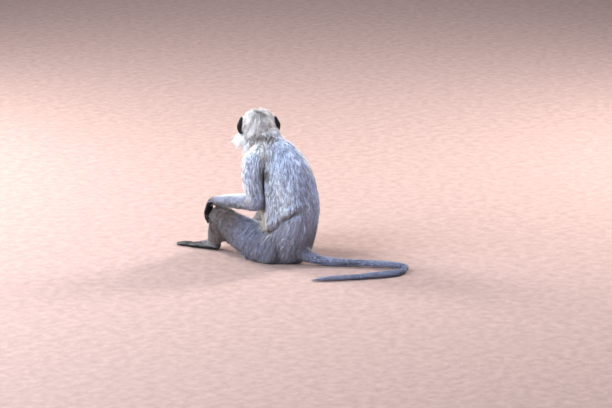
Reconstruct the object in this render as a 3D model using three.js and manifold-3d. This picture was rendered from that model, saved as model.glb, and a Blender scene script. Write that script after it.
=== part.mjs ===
// A grey langur sitting on the ground, at life size: knees up, forearms resting on the knees, head turned a little
// to its right, tail laid along the ground in one hairpin. The animal faces -Y and its left is +X.
// Millimetres, +Z up. The origin is on the ground between the sitting bones.
import * as THREE from "three";
import { mergeVertices } from "three/addons/utils/BufferGeometryUtils.js";
import Module from "manifold-3d";

const wasm = await Module();
wasm.setup();

// ---------------------------------------------------------------- driving dimensions
const GAP = 0.3; // between touching nodes
const COAT_GAP = 0.6; // between the locks of two nodes
const COAT_RISE = 11; // from a node's core to the tips of the locks it carries
const SEED = 7;
// A lock of the body's coat: a flat blade, bent along the surface it lies on.
const BODY_LOCK = { length: 118, width: 66, thick: 4.5, sink: 3, rise: COAT_RISE };
const LIMB_LOCK = { length: 84, width: 42, thick: 4, sink: 2.5, rise: 8 };
const MANTLE_LOCK = { length: 82, width: 50, thick: 4.5, sink: 3, rise: 12 };
const CROWN_LOCK = { length: 52, width: 28, thick: 3.6, sink: 3, rise: 14 };
const WHISKER_LOCK = { length: 58, width: 21, thick: 3.6, sink: 3, rise: 34 };

// Joints of the pose, left and right.
const LEFT = {
  shoulder: [99, -70, 388],
  elbow: [122, -22, 238],
  wrist: [175, -209, 219],
  hip: [60, -6, 68],
  knee: [157, -194, 160],
  ankle: [124, -281, 44],
  heading: -20, // of the foot, in degrees, away from straight ahead towards +X when negative
};
const RIGHT = {
  shoulder: [-75, -84, 374],
  elbow: [-124, -26, 236],
  wrist: [-140, -204, 236],
  hip: [-60, -6, 68],
  knee: [-127, -184, 176],
  ankle: [-40, -254, 46],
  heading: -26,
};

// Half widths and half depths of a limb, at shares of the way from one joint to the next.
const UPPER_ARM = [
  [0, 44, 46],
  [0.33, 39, 41],
  [0.67, 35, 37],
  [1, 29, 30],
];
const FOREARM = [
  [0, 29, 30],
  [0.35, 27, 29],
  [0.7, 23, 24],
  [1, 17, 15],
];
const THIGH = [
  [0, 66, 80],
  [0.35, 61, 75],
  [0.7, 50, 62],
  [1, 40, 42],
];
const SHIN = [
  [0, 40, 42],
  [0.3, 41, 44],
  [0.7, 34, 39],
  [1, 24, 25],
];

// The trunk's stations out to the tips of the coat: centre, half width, half depth.
const TRUNK = [
  [0, 18, 58, 92, 84],
  [0, 24, 135, 105, 105],
  [0, 18, 212, 113, 123],
  [0, 12, 288, 105, 115],
  [2, -6, 358, 92, 97],
  [4, -36, 408, 68, 72],
];
// From the root of the neck out to each shoulder: half widths at its two ends.
const SHOULDER_SLOPE = { from: [20, -58, 418], girth: [42, 42] };
const NECK = [
  [4, -42, 408, 62, 60],
  [12, -76, 442, 58, 57],
  [21, -106, 474, 50, 50],
];
// The tail's line on the ground: centre x and y, and half thickness.
const TAIL = [
  [0, 60, 64, 34],
  [-12, 98, 38, 27],
  [-56, 158, 19, 20],
  [-150, 262, 16, 17],
  [-226, 356, 15, 16],
  [-242, 408, 14, 15],
  [-190, 440, 14, 15],
  [-56, 394, 12, 13],
  [72, 322, 10, 11],
  [118, 292, 5, 5],
];
const TAIL_LENGTHS = 5;
const NAPE_DEPTH = 34; // from the head's centre to the plane it meets the neck on
const MOST_BURIED = 0.3; // of a lock, inside a neighbour, before it is left out
const WAIST_SHARE = 0.5; // where the trunk divides into rump and chest

const HEAD_CENTRE = [23, -135, 500];
const HEAD_TURN = -34; // degrees about Z, to the animal's right
const HEAD_NOD = 4; // degrees, chin down
const EYE = { x: 14.5, y: -43.4, z: 1.5, radius: 8.6, opening: [16.5, 10] };
const EAR = {
  at: [63, 10, 3], // the cup's middle in the head's frame
  height: 63,
  width: 42,
  depth: 6,
  point: 5, // how far the outer edge is drawn out
  turn: 30, // degrees, opening forwards and outwards
};

// ---------------------------------------------------------------- materials
const finish = (color, roughness) =>
  new THREE.MeshStandardMaterial({ color, roughness, metalness: 0 });
const COAT = finish(0xa9a8b8, 0.85);
const PALE_COAT = finish(0xdedbd8, 0.85);
const BARE_SKIN = finish(0x1d1a1c, 0.6);
const EYEBALL = finish(0x3a1d0c, 0.15);

// ---------------------------------------------------------------- solids
const vec = (a) => new THREE.Vector3(a[0], a[1], a[2]);
const radians = (d) => (d * Math.PI) / 180;
const mix = (a, b, t) => a + (b - a) * t;

let seed = SEED;
function random() {
  seed = (seed * 16807) % 2147483647;
  return seed / 2147483647;
}
const vary = (spread) => 1 + (random() * 2 - 1) * spread;

function toSolid(geometry, weld = 1e-4) {
  const bare = geometry.clone();
  bare.deleteAttribute("normal");
  bare.deleteAttribute("uv");
  const merged = mergeVertices(bare, weld);
  return new wasm.Manifold(
    new wasm.Mesh({
      numProp: 3,
      vertProperties: Float32Array.from(merged.attributes.position.array),
      triVerts: Uint32Array.from(merged.index.array),
    }),
  );
}

// The largest closed surface of a solid.
function largest(solid) {
  return solid
    .decompose()
    .reduce((best, s) => (s.volume() > best.volume() ? s : best));
}

// Stations drawn in by a height, for the core under a coat, which may change along them.
const inside = (stations, height, lastHeight = height) =>
  stations.map(([x, y, z, wide, deep], i) => {
    const by = mix(height, lastHeight, i / (stations.length - 1));
    return [x, y, z, wide - by, deep - by];
  });

function join(solids) {
  return solids.reduce((all, s) => all.add(s));
}

// The part of a solid on the side of a plane that its normal points to.
function keepSide(solid, point, normal, clearance = GAP / 2) {
  const n = normal.clone().normalize();
  return solid.trimByPlane(n.toArray(), n.dot(point) + clearance);
}

const standOnFloor = (solid) => solid.trimByPlane([0, 0, 1], 0);

const group = new THREE.Group();
function toGeometry(solid) {
  const mesh = solid.getMesh();
  const points = new Float32Array(mesh.numVert * 3);
  for (let i = 0; i < mesh.numVert; i++)
    points.set(
      mesh.vertProperties.subarray(i * mesh.numProp, i * mesh.numProp + 3),
      i * 3,
    );
  return new THREE.BufferGeometry()
    .setAttribute("position", new THREE.BufferAttribute(points, 3))
    .setIndex(new THREE.BufferAttribute(mesh.triVerts, 1));
}

function addNode(name, solid, material) {
  // Vertices closer than a hair's breadth become one, and what then hangs by a point or an edge falls off.
  const whole = largest(toSolid(toGeometry(largest(solid)), 2e-3));
  const geometry = toGeometry(whole);
  geometry.computeVertexNormals();
  const node = new THREE.Mesh(geometry, material);
  node.name = name;
  group.add(node);
}

// A closed sphere grid whose rows and columns are moved to place(row, column).
function movedSphere(columns, rows, place) {
  const sphere = new THREE.SphereGeometry(1, columns, rows);
  const position = sphere.getAttribute("position");
  for (let row = 0; row <= rows; row++)
    for (let column = 0; column <= columns; column++) {
      const p = place(row, column % columns);
      position.setXYZ(row * (columns + 1) + column, p.x, p.y, p.z);
    }
  return sphere;
}

function ellipsoid(centre, radii, columns = 16, rows = 10) {
  return toSolid(
    new THREE.SphereGeometry(1, columns, rows)
      .scale(...radii)
      .translate(...centre),
  );
}

// A round tube through stations [x, y, z, half width, half depth], with a dome or a flat at each end.
class Tube {
  constructor(stations, options) {
    Object.assign(
      this,
      { across: [1, 0, 0], sides: 20, steps: 10, domes: [0, 0] },
      options,
    );
    this.spine = new THREE.CatmullRomCurve3(stations.map(vec));
    this.sizes = new THREE.CatmullRomCurve3(
      stations.map((s) => new THREE.Vector3(s[3], s[4], 0)),
    );
  }
  frame(t) {
    const tangent = this.spine.getTangent(t);
    const across = vec(this.across);
    across.addScaledVector(tangent, -across.dot(tangent)).normalize();
    return { tangent, across, deep: tangent.clone().cross(across) };
  }
  // The surface at share t of the length and an angle round it, raised by a height. Past an end it runs straight on.
  at(t, angle, height = 0, shrink = 1) {
    const on = Math.min(1, Math.max(0, t));
    const { tangent, across, deep } = this.frame(on);
    const size = this.sizes.getPoint(on);
    return this.spine
      .getPoint(on)
      .addScaledVector(tangent, (t - on) * this.spine.getLength())
      .addScaledVector(across, (size.x + height) * shrink * Math.cos(angle))
      .addScaledVector(deep, (size.y + height) * shrink * Math.sin(angle));
  }
  // Rows of the grid: share of the length, ring's scale, and how far past the end.
  rows(grow) {
    const CAP = 2;
    const [first, last] = this.domes.map((d) => (d ? d + grow : 0));
    const rows = [];
    for (let i = 0; i < (first ? CAP : 1); i++) {
      const a = first ? (i / CAP) * (Math.PI / 2) : 0;
      rows.push([0, Math.sin(a), -first * Math.cos(a)]);
    }
    for (let i = 0; i <= this.steps; i++) rows.push([i / this.steps, 1, 0]);
    for (let i = last ? CAP - 1 : 0; i >= 0; i--) {
      const a = last ? (i / CAP) * (Math.PI / 2) : 0;
      rows.push([1, Math.sin(a), last * Math.cos(a)]);
    }
    return rows;
  }
  solid(grow = 0) {
    const rows = this.rows(grow);
    return toSolid(
      movedSphere(this.sides, rows.length - 1, (row, column) => {
        const [t, scale, past] = rows[row];
        const angle = Math.PI - (column / this.sides) * 2 * Math.PI;
        return this.at(t, angle, grow, scale).addScaledVector(
          this.frame(t).tangent,
          past,
        );
      }),
    );
  }
}

// ---------------------------------------------------------------- locks of hair
const LOCK_PROFILE = [
  // share of the length, width, thickness, height between the sunk root and the risen tip
  [0, 0.42, 0.9, 0],
  [0.36, 1, 1, 0.52],
  [0.78, 0.66, 0.75, 0.82],
  [1, 0, 0, 1],
];

// One lock on a surface given by a function of two coordinates and a height, along a path from the root to the tip.
function lockOn(surface, path, size, grow = 0) {
  const sides = grow ? 5 : 3; // a grown lock has blunt edges, which hold the thin ones
  const rows = LOCK_PROFILE.length + 1;
  const { width, thick, sink, rise } = size;
  return toSolid(
    movedSphere(sides, rows - 1, (row, column) => {
      const station = Math.max(0, row - 1);
      const [share, wide, deep, risen] = LOCK_PROFILE[station];
      const height = mix(-sink, rise, risen);
      const centre = surface(...path(share), height);
      const ahead = surface(...path(share + 0.03), height);
      const along = ahead.sub(centre).normalize();
      const out = surface(...path(share), height + 1).sub(centre).normalize();
      const sideways = out.clone().cross(along).normalize();
      if (station === 0) centre.addScaledVector(along, -grow * 3);
      if (row === 0) return centre;
      if (station === LOCK_PROFILE.length - 1)
        return centre.addScaledVector(along, grow * 3);
      const w = (width * wide) / 2 + grow,
        d = (thick * deep) / 2,
        low = -0.55 * d;
      const section = grow
        ? [
            [-w, low - grow],
            [-w, low + grow],
            [0, d + grow],
            [w, low + grow],
            [w, low - grow],
          ]
        : [
            [-w, low],
            [0, d],
            [w, low],
          ];
      return centre
        .addScaledVector(sideways, section[column][0])
        .addScaledVector(out, section[column][1]);
    }),
  );
}

// Staggered rows of locks. Each spot is the root's two coordinates and the way its hair lies, in shares of its length.
function locksOver(surface, spots, size) {
  const paths = spots.map(({ u, v, du, dv, scale = 1 }) => {
    const bend = (random() - 0.5) * 0.3,
      turn = (random() - 0.5) * 0.3,
      stretch = vary(0.14) * scale;
    return {
      path: (share) => [
        u + du * stretch * share + dv * turn * share * share * 0.4,
        v + dv * stretch * share + Math.abs(du) * bend * share * share,
      ],
      size: {
        ...size,
        width: size.width * vary(0.16) * scale,
        rise: size.rise * vary(0.18),
      },
    };
  });
  const make = (grow) =>
    paths.map(({ path, size: own }) => lockOn(surface, path, own, grow));
  return { locks: make(0), grown: make(COAT_GAP) };
}

// Stations from one joint to the next, with a profile and a bow to one side between them.
function stationsBetween(from, to, profile, bow = [0, 0, 0]) {
  return profile.map(([share, wide, deep]) => [
    ...[0, 1, 2].map(
      (k) =>
        mix(from[k], to[k], share) + bow[k] * Math.sin(Math.PI * share),
    ),
    wide,
    deep,
  ]);
}

// ---------------------------------------------------------------- trunk, neck and tail
const trunk = new Tube(inside(TRUNK, BODY_LOCK.rise), {
  sides: 24,
  steps: 10,
  domes: [64, 44],
});
const slopeTo = ({ shoulder }) => {
  const [x, y, z] = SHOULDER_SLOPE.from;
  const [inner, outer] = SHOULDER_SLOPE.girth.map((g) => g - MANTLE_LOCK.rise);
  return new Tube(
    [
      [x * Math.sign(shoulder[0]), y, z, inner, inner],
      [...shoulder, outer, outer],
    ],
    { across: [0, 1, 0], sides: 14, steps: 3, domes: [inner, outer] },
  );
};
const slopes = [slopeTo(LEFT), slopeTo(RIGHT)];
const trunkCore = join([trunk.solid(), ...slopes.map((slope) => slope.solid())]);
const trunkGrown = join([trunk.solid(GAP), ...slopes.map((slope) => slope.solid(GAP))]);
const waist = {
  point: trunk.spine.getPoint(WAIST_SHARE),
  normal: trunk.spine.getTangent(WAIST_SHARE),
};
const neck = new Tube(inside(NECK, MANTLE_LOCK.rise - 2), { sides: 14, steps: 3, domes: [16, 10] });
// Where the head sits on the neck.
const nape = { normal: neck.spine.getTangent(1) };
nape.point = vec(HEAD_CENTRE).addScaledVector(nape.normal, -NAPE_DEPTH);

const tailCurve = new THREE.CatmullRomCurve3(TAIL.map(vec));
const tailGirth = new THREE.CatmullRomCurve3(
  TAIL.map((s) => new THREE.Vector3(s[3], 0, 0)),
);

// One length of the tail, cut square across where it meets the next.
function tailLength(index) {
  const STATIONS = 8,
    OVERRUN = 0.012;
  const first = index === 0,
    last = index === TAIL_LENGTHS - 1;
  const from = index / TAIL_LENGTHS,
    to = (index + 1) / TAIL_LENGTHS;
  const stations = [];
  for (let i = 0; i < STATIONS; i++) {
    const t = mix(
      first ? from : from - OVERRUN,
      last ? to : to + OVERRUN,
      i / (STATIONS - 1),
    );
    const r = tailGirth.getPoint(t).x;
    stations.push([...tailCurve.getPoint(t).toArray(), r, r]);
  }
  let length = new Tube(stations, {
    across: [0, 0, 1],
    sides: 10,
    steps: 6,
    domes: [0, last ? 14 : 0],
  }).solid();
  if (!first)
    length = keepSide(length, tailCurve.getPoint(from), tailCurve.getTangent(from));
  if (!last)
    length = keepSide(
      length,
      tailCurve.getPoint(to),
      tailCurve.getTangent(to).negate(),
    );
  return length;
}

// ---------------------------------------------------------------- arms and legs
// The plane that halves the bend at a joint.
function bendPlane(before, joint, after) {
  const into = vec(joint).sub(vec(before)).normalize();
  const out = vec(after).sub(vec(joint)).normalize();
  return { point: vec(joint), normal: into.add(out) };
}

function cutAt(upper, lower, plane) {
  return [
    keepSide(upper, plane.point, plane.normal.clone().negate()),
    keepSide(lower, plane.point, plane.normal),
  ];
}

function digit(points, radii, across, sides = 6) {
  return new Tube(
    points.map((p, i) => [...p, radii[i], radii[i] * 0.9]),
    { across, sides, steps: 4, domes: [radii[0], radii[radii.length - 1]] },
  ).solid();
}

// A hand that hangs over the knee from the wrist, its fingers curled back a little.
function handOf(pose, side) {
  const wrist = vec(pose.wrist);
  const along = vec(pose.wrist).sub(vec(pose.elbow)).setZ(0).normalize();
  const across = new THREE.Vector3(-along.y, along.x, 0); // towards +X for the left hand
  const spot = (forward, sideways, down) =>
    wrist
      .clone()
      .addScaledVector(along, forward)
      .addScaledVector(across, sideways)
      .add(new THREE.Vector3(0, 0, -down))
      .toArray();
  const palm = new Tube(
    [
      [...spot(-6, 0, 0), 17, 15],
      [...spot(12, 0, 3), 20, 13],
      [...spot(25, 0, 16), 21, 11],
      [...spot(30, 0, 32), 20, 9],
    ],
    { across: across.toArray(), sides: 10, steps: 4, domes: [10, 7] },
  ).solid();
  const FINGERS = [
    [-14.5, 0.86],
    [-5, 1],
    [5, 0.97],
    [14.5, 0.82],
  ];
  const fingers = FINGERS.map(([sideways, size]) =>
    digit(
      [
        spot(27, sideways * 0.9, 26),
        spot(32, sideways * 1.05, 26 + 24 * size),
        spot(26, sideways * 1.1, 26 + 50 * size),
        spot(13, sideways * 1.1, 26 + 72 * size),
      ],
      [6, 5.6, 5, 3.8],
      across.toArray(),
    ),
  );
  const thumb = digit(
    [
      spot(4, -side * 15, 10),
      spot(10, -side * 24, 22),
      spot(14, -side * 25, 38),
    ],
    [6.5, 5.5, 4],
    across.toArray(),
  );
  return join([palm, ...fingers, thumb]);
}

// A foot flat on the ground, heading off from the ankle.
function footOf(pose, side) {
  const turn = radians(pose.heading);
  const along = new THREE.Vector3(-Math.sin(turn), -Math.cos(turn), 0);
  const across = new THREE.Vector3(-along.y, along.x, 0);
  const spot = (forward, sideways, up) =>
    new THREE.Vector3(pose.ankle[0], pose.ankle[1], up)
      .addScaledVector(along, forward)
      .addScaledVector(across, sideways)
      .toArray();
  const sole = new Tube(
    [
      [...spot(-12, 0, 17), 19, 19],
      [...spot(8, 0, 20), 21, 24],
      [...spot(45, 0, 14), 21, 17],
      [...spot(82, side * 2, 10), 22, 12],
      [...spot(104, side * 2, 8), 20, 9],
    ],
    { across: across.toArray(), sides: 10, steps: 5, domes: [12, 8] },
  ).solid();
  const TOES = [
    [-13, 0.92],
    [-4.5, 1.05],
    [4.5, 1.02],
    [13, 0.88],
  ];
  const toes = TOES.map(([sideways, size]) =>
    digit(
      [
        spot(98, side * (sideways + 2), 8),
        spot(98 + 24 * size, side * (sideways * 1.12 + 2), 9),
        spot(98 + 46 * size, side * (sideways * 1.2 + 2), 7.5),
        spot(98 + 64 * size, side * (sideways * 1.22 + 2), 4),
      ],
      [7, 6.6, 6, 4.6],
      across.toArray(),
    ),
  );
  const shinDirection = vec(pose.knee).sub(vec(pose.ankle)).normalize();
  const overAnkle = (distance) =>
    vec(pose.ankle).addScaledVector(shinDirection, distance).toArray();
  const ankle = new Tube(
    [
      [...overAnkle(12), 21, 22],
      [...overAnkle(0), 20.5, 21],
      [...spot(0, 0, 22), 19, 20],
    ],
    { across: [1, 0, 0], sides: 12, steps: 3, domes: [4, 6] },
  ).solid();
  const bigToe = digit(
    [
      spot(52, -side * 14, 9),
      spot(68, -side * 30, 9),
      spot(84, -side * 42, 6),
    ],
    [9, 7.4, 5.4],
    across.toArray(),
  );
  return join([sole, ankle, ...toes, bigToe]);
}

function armOf(pose, side) {
  const upper = new Tube(
    inside(
      stationsBetween(pose.shoulder, pose.elbow, UPPER_ARM, [side * 8, -8, 0]),
      LIMB_LOCK.rise,
      2,
    ),
    { across: [0, side, 0], sides: 14, steps: 6, domes: [36, 27] },
  );
  const fore = new Tube(
    stationsBetween(pose.elbow, pose.wrist, FOREARM, [0, 0, 4]),
    { across: [1, 0, 0], sides: 12, steps: 6, domes: [29, 12] },
  );
  const hand = handOf(pose, side);
  const elbow = bendPlane(pose.shoulder, pose.elbow, pose.wrist);
  const [upperArm, forearmWhole] = cutAt(upper.solid(), fore.solid(), elbow);
  const wristDirection = vec(pose.wrist).sub(vec(pose.elbow)).normalize();
  const wristPoint = vec(pose.wrist).addScaledVector(wristDirection, -4);
  const [forearm, palm] = cutAt(forearmWhole, hand, {
    point: wristPoint,
    normal: wristDirection,
  });
  return { upper, fore, upperArm, forearm, hand: palm };
}

function legOf(pose, side) {
  const thigh = new Tube(
    inside(
      stationsBetween(pose.hip, pose.knee, THIGH, [side * 4, 0, -18]),
      LIMB_LOCK.rise,
      2,
    ),
    { across: [side, 0, 0], sides: 16, steps: 5, domes: [54, 35] },
  );
  const shin = new Tube(
    stationsBetween(pose.knee, pose.ankle, SHIN, [0, 8, 0]),
    { across: [1, 0, 0], sides: 12, steps: 6, domes: [37, 18] },
  );
  const knee = bendPlane(pose.hip, pose.knee, pose.ankle);
  const [thighWhole, shinWhole] = cutAt(thigh.solid(), shin.solid(), knee);
  const shinDirection = vec(pose.ankle).sub(vec(pose.knee)).normalize();
  const anklePoint = vec(pose.ankle).addScaledVector(shinDirection, -2);
  const [shinCut, foot] = cutAt(shinWhole, footOf(pose, side), {
    point: anklePoint,
    normal: shinDirection,
  });
  return { thigh, shin, thighSolid: thighWhole, shinSolid: shinCut, foot };
}

// ---------------------------------------------------------------- head
const headMatrix = new THREE.Matrix4()
  .makeTranslation(...HEAD_CENTRE)
  .multiply(new THREE.Matrix4().makeRotationZ(radians(HEAD_TURN)))
  .multiply(new THREE.Matrix4().makeRotationX(radians(HEAD_NOD)));

// Ellipsoids of the head in its own frame, with the face towards -Y: centre, radii. Those with x > 0 are mirrored.
const SKULL_FORMS = [
  [[0, 12, 7], [48, 50, 48]], // braincase under half the coat
  [[0, -20, -8], [38, 28, 40]], // face
  [[26, -24, -12], [15, 17, 20]], // cheek
  [[14, -44, 13.5], [17, 9, 7]], // brow ridge
  [[0, -45, 12], [12, 8, 7]], // between the brows
  [[0, -46, -22], [19, 20, 15]], // muzzle
  [[0, -60, -21.5], [14.5, 7, 6.5]], // upper lip
  [[0, -57.5, -31.5], [12.5, 7, 5]], // lower lip
  [[0, -50, -39], [12, 11, 9]], // chin
  [[0, -52, 1], [4.5, 7, 13]], // bridge of the nose
  [[0, -63, -9], [5, 5.5, 4.5]], // tip of the nose
  [[4.8, -61, -11], [3.6, 4.6, 3.6]], // wing of the nose
  [[0, 22, -30], [38, 32, 32]], // nape
];
// Hollows pressed into them.
const HOLLOWS = [
  [[16, -62, 0], [11.5, 12, 7.5]], // eye socket
  [[23, -60, -20], [7, 12, 12]], // between cheek and muzzle
];
const SOFTNESS = 3.8; // how far the forms run into each other
const HEAD_HEART = new THREE.Vector3(0, -20, 0);

function ellipsoidDistance(p, [c, r], mirror) {
  const x = (p.x * mirror - c[0]) / r[0],
    y = (p.y - c[1]) / r[1],
    z = (p.z - c[2]) / r[2];
  const k = Math.hypot(x, y, z);
  return (k * (k - 1)) / Math.max(Math.hypot(x / r[0], y / r[1], z / r[2]), 1e-6);
}

const bothSides = (forms) =>
  forms.flatMap((form) =>
    form[0][0] > 0 ? [[form, 1], [form, -1]] : [[form, 1]],
  );
const SKULL = bothSides(SKULL_FORMS);
const PRESSED = bothSides(HOLLOWS);

function headField(p) {
  let sum = 0;
  for (const [form, mirror] of SKULL)
    sum += Math.exp(-ellipsoidDistance(p, form, mirror) / SOFTNESS);
  let distance = -SOFTNESS * Math.log(sum);
  for (const [form, mirror] of PRESSED) {
    const d = -ellipsoidDistance(p, form, mirror);
    distance =
      SOFTNESS *
      Math.log(Math.exp(distance / SOFTNESS) + Math.exp(d / SOFTNESS));
  }
  return distance;
}

// A direction by its angle from the face's axis and its angle round that axis, 0 at the top.
const headDirection = (fromFace, round) =>
  new THREE.Vector3(
    Math.sin(fromFace) * Math.sin(round),
    -Math.cos(fromFace),
    Math.sin(fromFace) * Math.cos(round) - 0.12 * Math.cos(fromFace),
  ).normalize();

// The head's surface in a direction from its heart, raised by a height.
function headSurface(direction, height = 0) {
  let inside = 15,
    outside = 100;
  for (let i = 0; i < 20; i++) {
    const middle = (inside + outside) / 2;
    if (headField(HEAD_HEART.clone().addScaledVector(direction, middle)) < 0)
      inside = middle;
    else outside = middle;
  }
  return HEAD_HEART.clone().addScaledVector(direction, inside + height);
}

// The face's surface straight behind a point of the front view.
function onFace(x, z, height = 0) {
  let inside = 20,
    outside = 90;
  for (let i = 0; i < 20; i++) {
    const middle = (inside + outside) / 2;
    if (headField(new THREE.Vector3(x, -middle, z)) < 0) inside = middle;
    else outside = middle;
  }
  return [x, -inside - height, z];
}

function headCore(grow = 0) {
  const COLUMNS = 32,
    ROWS = 23,
    CROWDING = 1.4; // rows lie closer together on the face
  return toSolid(
    movedSphere(COLUMNS, ROWS, (row, column) => {
      const fromFace = Math.PI * Math.pow(1 - row / ROWS, CROWDING);
      const round = (column / COLUMNS) * 2 * Math.PI;
      return headSurface(headDirection(fromFace, round), grow);
    }),
  );
}

// A prism towards -Y over an almond seen from the front, its outer corner a little higher.
function almond(side) {
  const { x, y, z, opening } = EYE;
  const [wide, high] = opening;
  const shape = new THREE.Shape();
  shape.moveTo(-wide / 2, -0.8);
  shape.quadraticCurveTo(-1, high, wide / 2, 0.8);
  shape.quadraticCurveTo(1, -high * 0.85, -wide / 2, -0.8);
  const prism = new THREE.ExtrudeGeometry(shape, {
    depth: 25,
    bevelEnabled: false,
    curveSegments: 5,
  }).rotateX(Math.PI / 2);
  if (side < 0) {
    prism.scale(-1, 1, 1);
    prism.setIndex([...Array(prism.attributes.position.count).keys()]);
    flip(prism);
  }
  return toSolid(prism.translate(side * x, y, z));
}

const eyeball = (side, grow = 0) =>
  ellipsoid(
    [side * EYE.x, EYE.y, EYE.z],
    [EYE.radius + grow, EYE.radius + grow, EYE.radius + grow],
    12,
    8,
  );

function headSolid() {
  let head = headCore();
  for (const side of [1, -1]) {
    const lids = ellipsoid(
      [side * EYE.x, EYE.y, EYE.z],
      [EYE.radius + 2.4, EYE.radius + 1.5, EYE.radius + 1.2],
      12,
      9,
    );
    const nostril = new Tube(
      [
        [side * 2.6, -66, -13, 1, 1.3],
        [side * 3.6, -64, -11.5, 1.6, 2],
        [side * 5, -61, -10, 1.2, 1.5],
      ],
      { across: [0, 0, 1], sides: 6, steps: 4, domes: [1, 1] },
    );
    head = head
      .add(lids)
      .subtract(eyeball(side, GAP))
      .subtract(almond(side))
      .subtract(nostril.solid());
  }
  const mouth = new Tube(
    [-16, -12.5, -8, -4, 0, 4, 8, 12.5, 16].map((x) => [
      ...onFace(x, -27 + Math.abs(x) * 0.12 - (Math.abs(x) > 14 ? 1.5 : 0)),
      0.8,
      1.3,
    ]),
    { across: [0, 0, 1], sides: 4, steps: 8, domes: [1, 1] },
  );
  return head.subtract(mouth.solid());
}

// An ear in its own frame: an upright cup that opens forwards, its rim rolled and its outer edge drawn to a point.
function earSolid(side, grow = 0) {
  const COLUMNS = 14,
    ROWS = 8;
  const { point } = EAR,
    height = EAR.height + 2 * grow,
    width = EAR.width + 2 * grow,
    depth = EAR.depth + 2 * grow;
  const cup = movedSphere(COLUMNS, ROWS, (row, column) => {
    const polar = (row / ROWS) * Math.PI,
      turn = (column / COLUMNS) * 2 * Math.PI;
    const up = Math.cos(polar),
      outward = Math.cos(turn) * Math.sin(polar),
      back = Math.sin(turn) * Math.sin(polar);
    const reach = Math.hypot(outward, up);
    const peak =
      outward > 0 ? point * Math.exp(-(((up - 0.35) / 0.3) ** 2)) * outward : 0;
    // The front sinks in as a bowl inside the rim.
    const bowl =
      back < 0
        ? Math.max(0, 1 - Math.hypot(outward - 0.12, up) * 1.2) ** 0.55 * 1.75
        : 0;
    return new THREE.Vector3(
      side * ((outward * width) / 2 + peak),
      back * depth + bowl * depth - reach * reach * 4,
      (up * height) / 2 - Math.max(0, -up) * Math.max(0, outward) * 5,
    );
  });
  if (side < 0) flip(cup);
  return toSolid(cup);
}

// Turns the faces of a mirrored geometry round.
function flip(geometry) {
  const index = geometry.index.array;
  for (let i = 0; i < index.length; i += 3)
    [index[i + 1], index[i + 2]] = [index[i + 2], index[i + 1]];
}

const manifoldMatrix = (m) => m.elements.slice();

// ---------------------------------------------------------------- coats
// Staggered rows of roots. u runs over the listed rows, v from one side to the other; lie gives each root's du and dv.
function rowsOfRoots(us, vFrom, vTo, counts, lie) {
  const spots = [];
  us.forEach((u, row) => {
    const count = Array.isArray(counts) ? counts[row] : counts;
    for (let i = 0; i < count; i++) {
      const share = (i + 0.5 + (row % 2 ? 0.25 : -0.25)) / count;
      const v = mix(vFrom, vTo, share + ((random() - 0.5) * 0.4) / count);
      const here = u + (random() - 0.5) * 0.02;
      spots.push({ u: here, v, ...lie(here, v) });
    }
  });
  return spots;
}

const shareOf = (tube, length) => length / tube.spine.getLength();
const tubeSurface = (tube) => (u, v, height) => tube.at(u, v, height);

// The back, flanks and breast: hair lies down the trunk, and on the flanks a little towards the belly.
function trunkCoat(us) {
  const down = -shareOf(trunk, BODY_LOCK.length);
  return locksOver(
    tubeSurface(trunk),
    rowsOfRoots(us, radians(-48), radians(228), 7, (u, v) => ({
      du: down,
      dv: -0.14 * Math.cos(v),
    })),
    BODY_LOCK,
  );
}

// From the nape down over the shoulders.
function neckCoat() {
  const down = -shareOf(neck, MANTLE_LOCK.length);
  return locksOver(
    tubeSurface(neck),
    rowsOfRoots([0.9, 0.35], radians(-75), radians(255), 7, () => ({
      du: down,
      dv: 0,
    })),
    MANTLE_LOCK,
  );
}

// On a limb: towards the far end, and round to its hind side.
function limbCoat(tube, us, from, to, count, round) {
  const along = shareOf(tube, LIMB_LOCK.length);
  return locksOver(
    tubeSurface(tube),
    rowsOfRoots(us, radians(from), radians(to), count, (u, v) => ({
      du: along,
      dv: round,
    })),
    LIMB_LOCK,
  );
}

const headPlace = (fromFace, round, height) =>
  headSurface(headDirection(fromFace, round), height).applyMatrix4(headMatrix);

// Crown and nape: back from the brow. Cheeks and chin: outwards and down, standing off as a ruff.
function headCoats() {
  const R = 55;
  const crown = locksOver(
    headPlace,
    rowsOfRoots(
      [1.02, 1.55, 2.12],
      radians(-70),
      radians(70),
      [5, 6, 5],
      (u, v) => ({ du: CROWN_LOCK.length / R, dv: v * 0.12 }),
    ),
    CROWN_LOCK,
  );
  const ruffs = [1, -1].map((side) =>
    locksOver(
      headPlace,
      rowsOfRoots(
        [0.98, 1.38],
        side * radians(84),
        side * radians(164),
        [4, 3],
        (u, v) => ({
          du: (WHISKER_LOCK.length / R) * 0.9,
          dv: side * 0.28,
        }),
      ),
      WHISKER_LOCK,
    ),
  );
  const chin = locksOver(
    headPlace,
    rowsOfRoots([0.9, 1.15], radians(168), radians(192), 2, () => ({
      du: (WHISKER_LOCK.length / R) * 0.8,
      dv: 0,
    })),
    { ...WHISKER_LOCK, rise: 11 },
  );
  const all = [crown, ...ruffs, chin];
  return {
    locks: all.flatMap((c) => c.locks),
    grown: all.flatMap((c) => c.grown),
  };
}

// ---------------------------------------------------------------- assembly
const SIDES = [
  ["left", 1, LEFT],
  ["right", -1, RIGHT],
];
const place = manifoldMatrix(headMatrix);
const nodes = []; // name, core, grown core, coat, material, in the order they give way to each other
function plan(name, core, grown, material, coat = { locks: [], grown: [] }) {
  nodes.push({ name, core, grown, material, coat });
}

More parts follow.
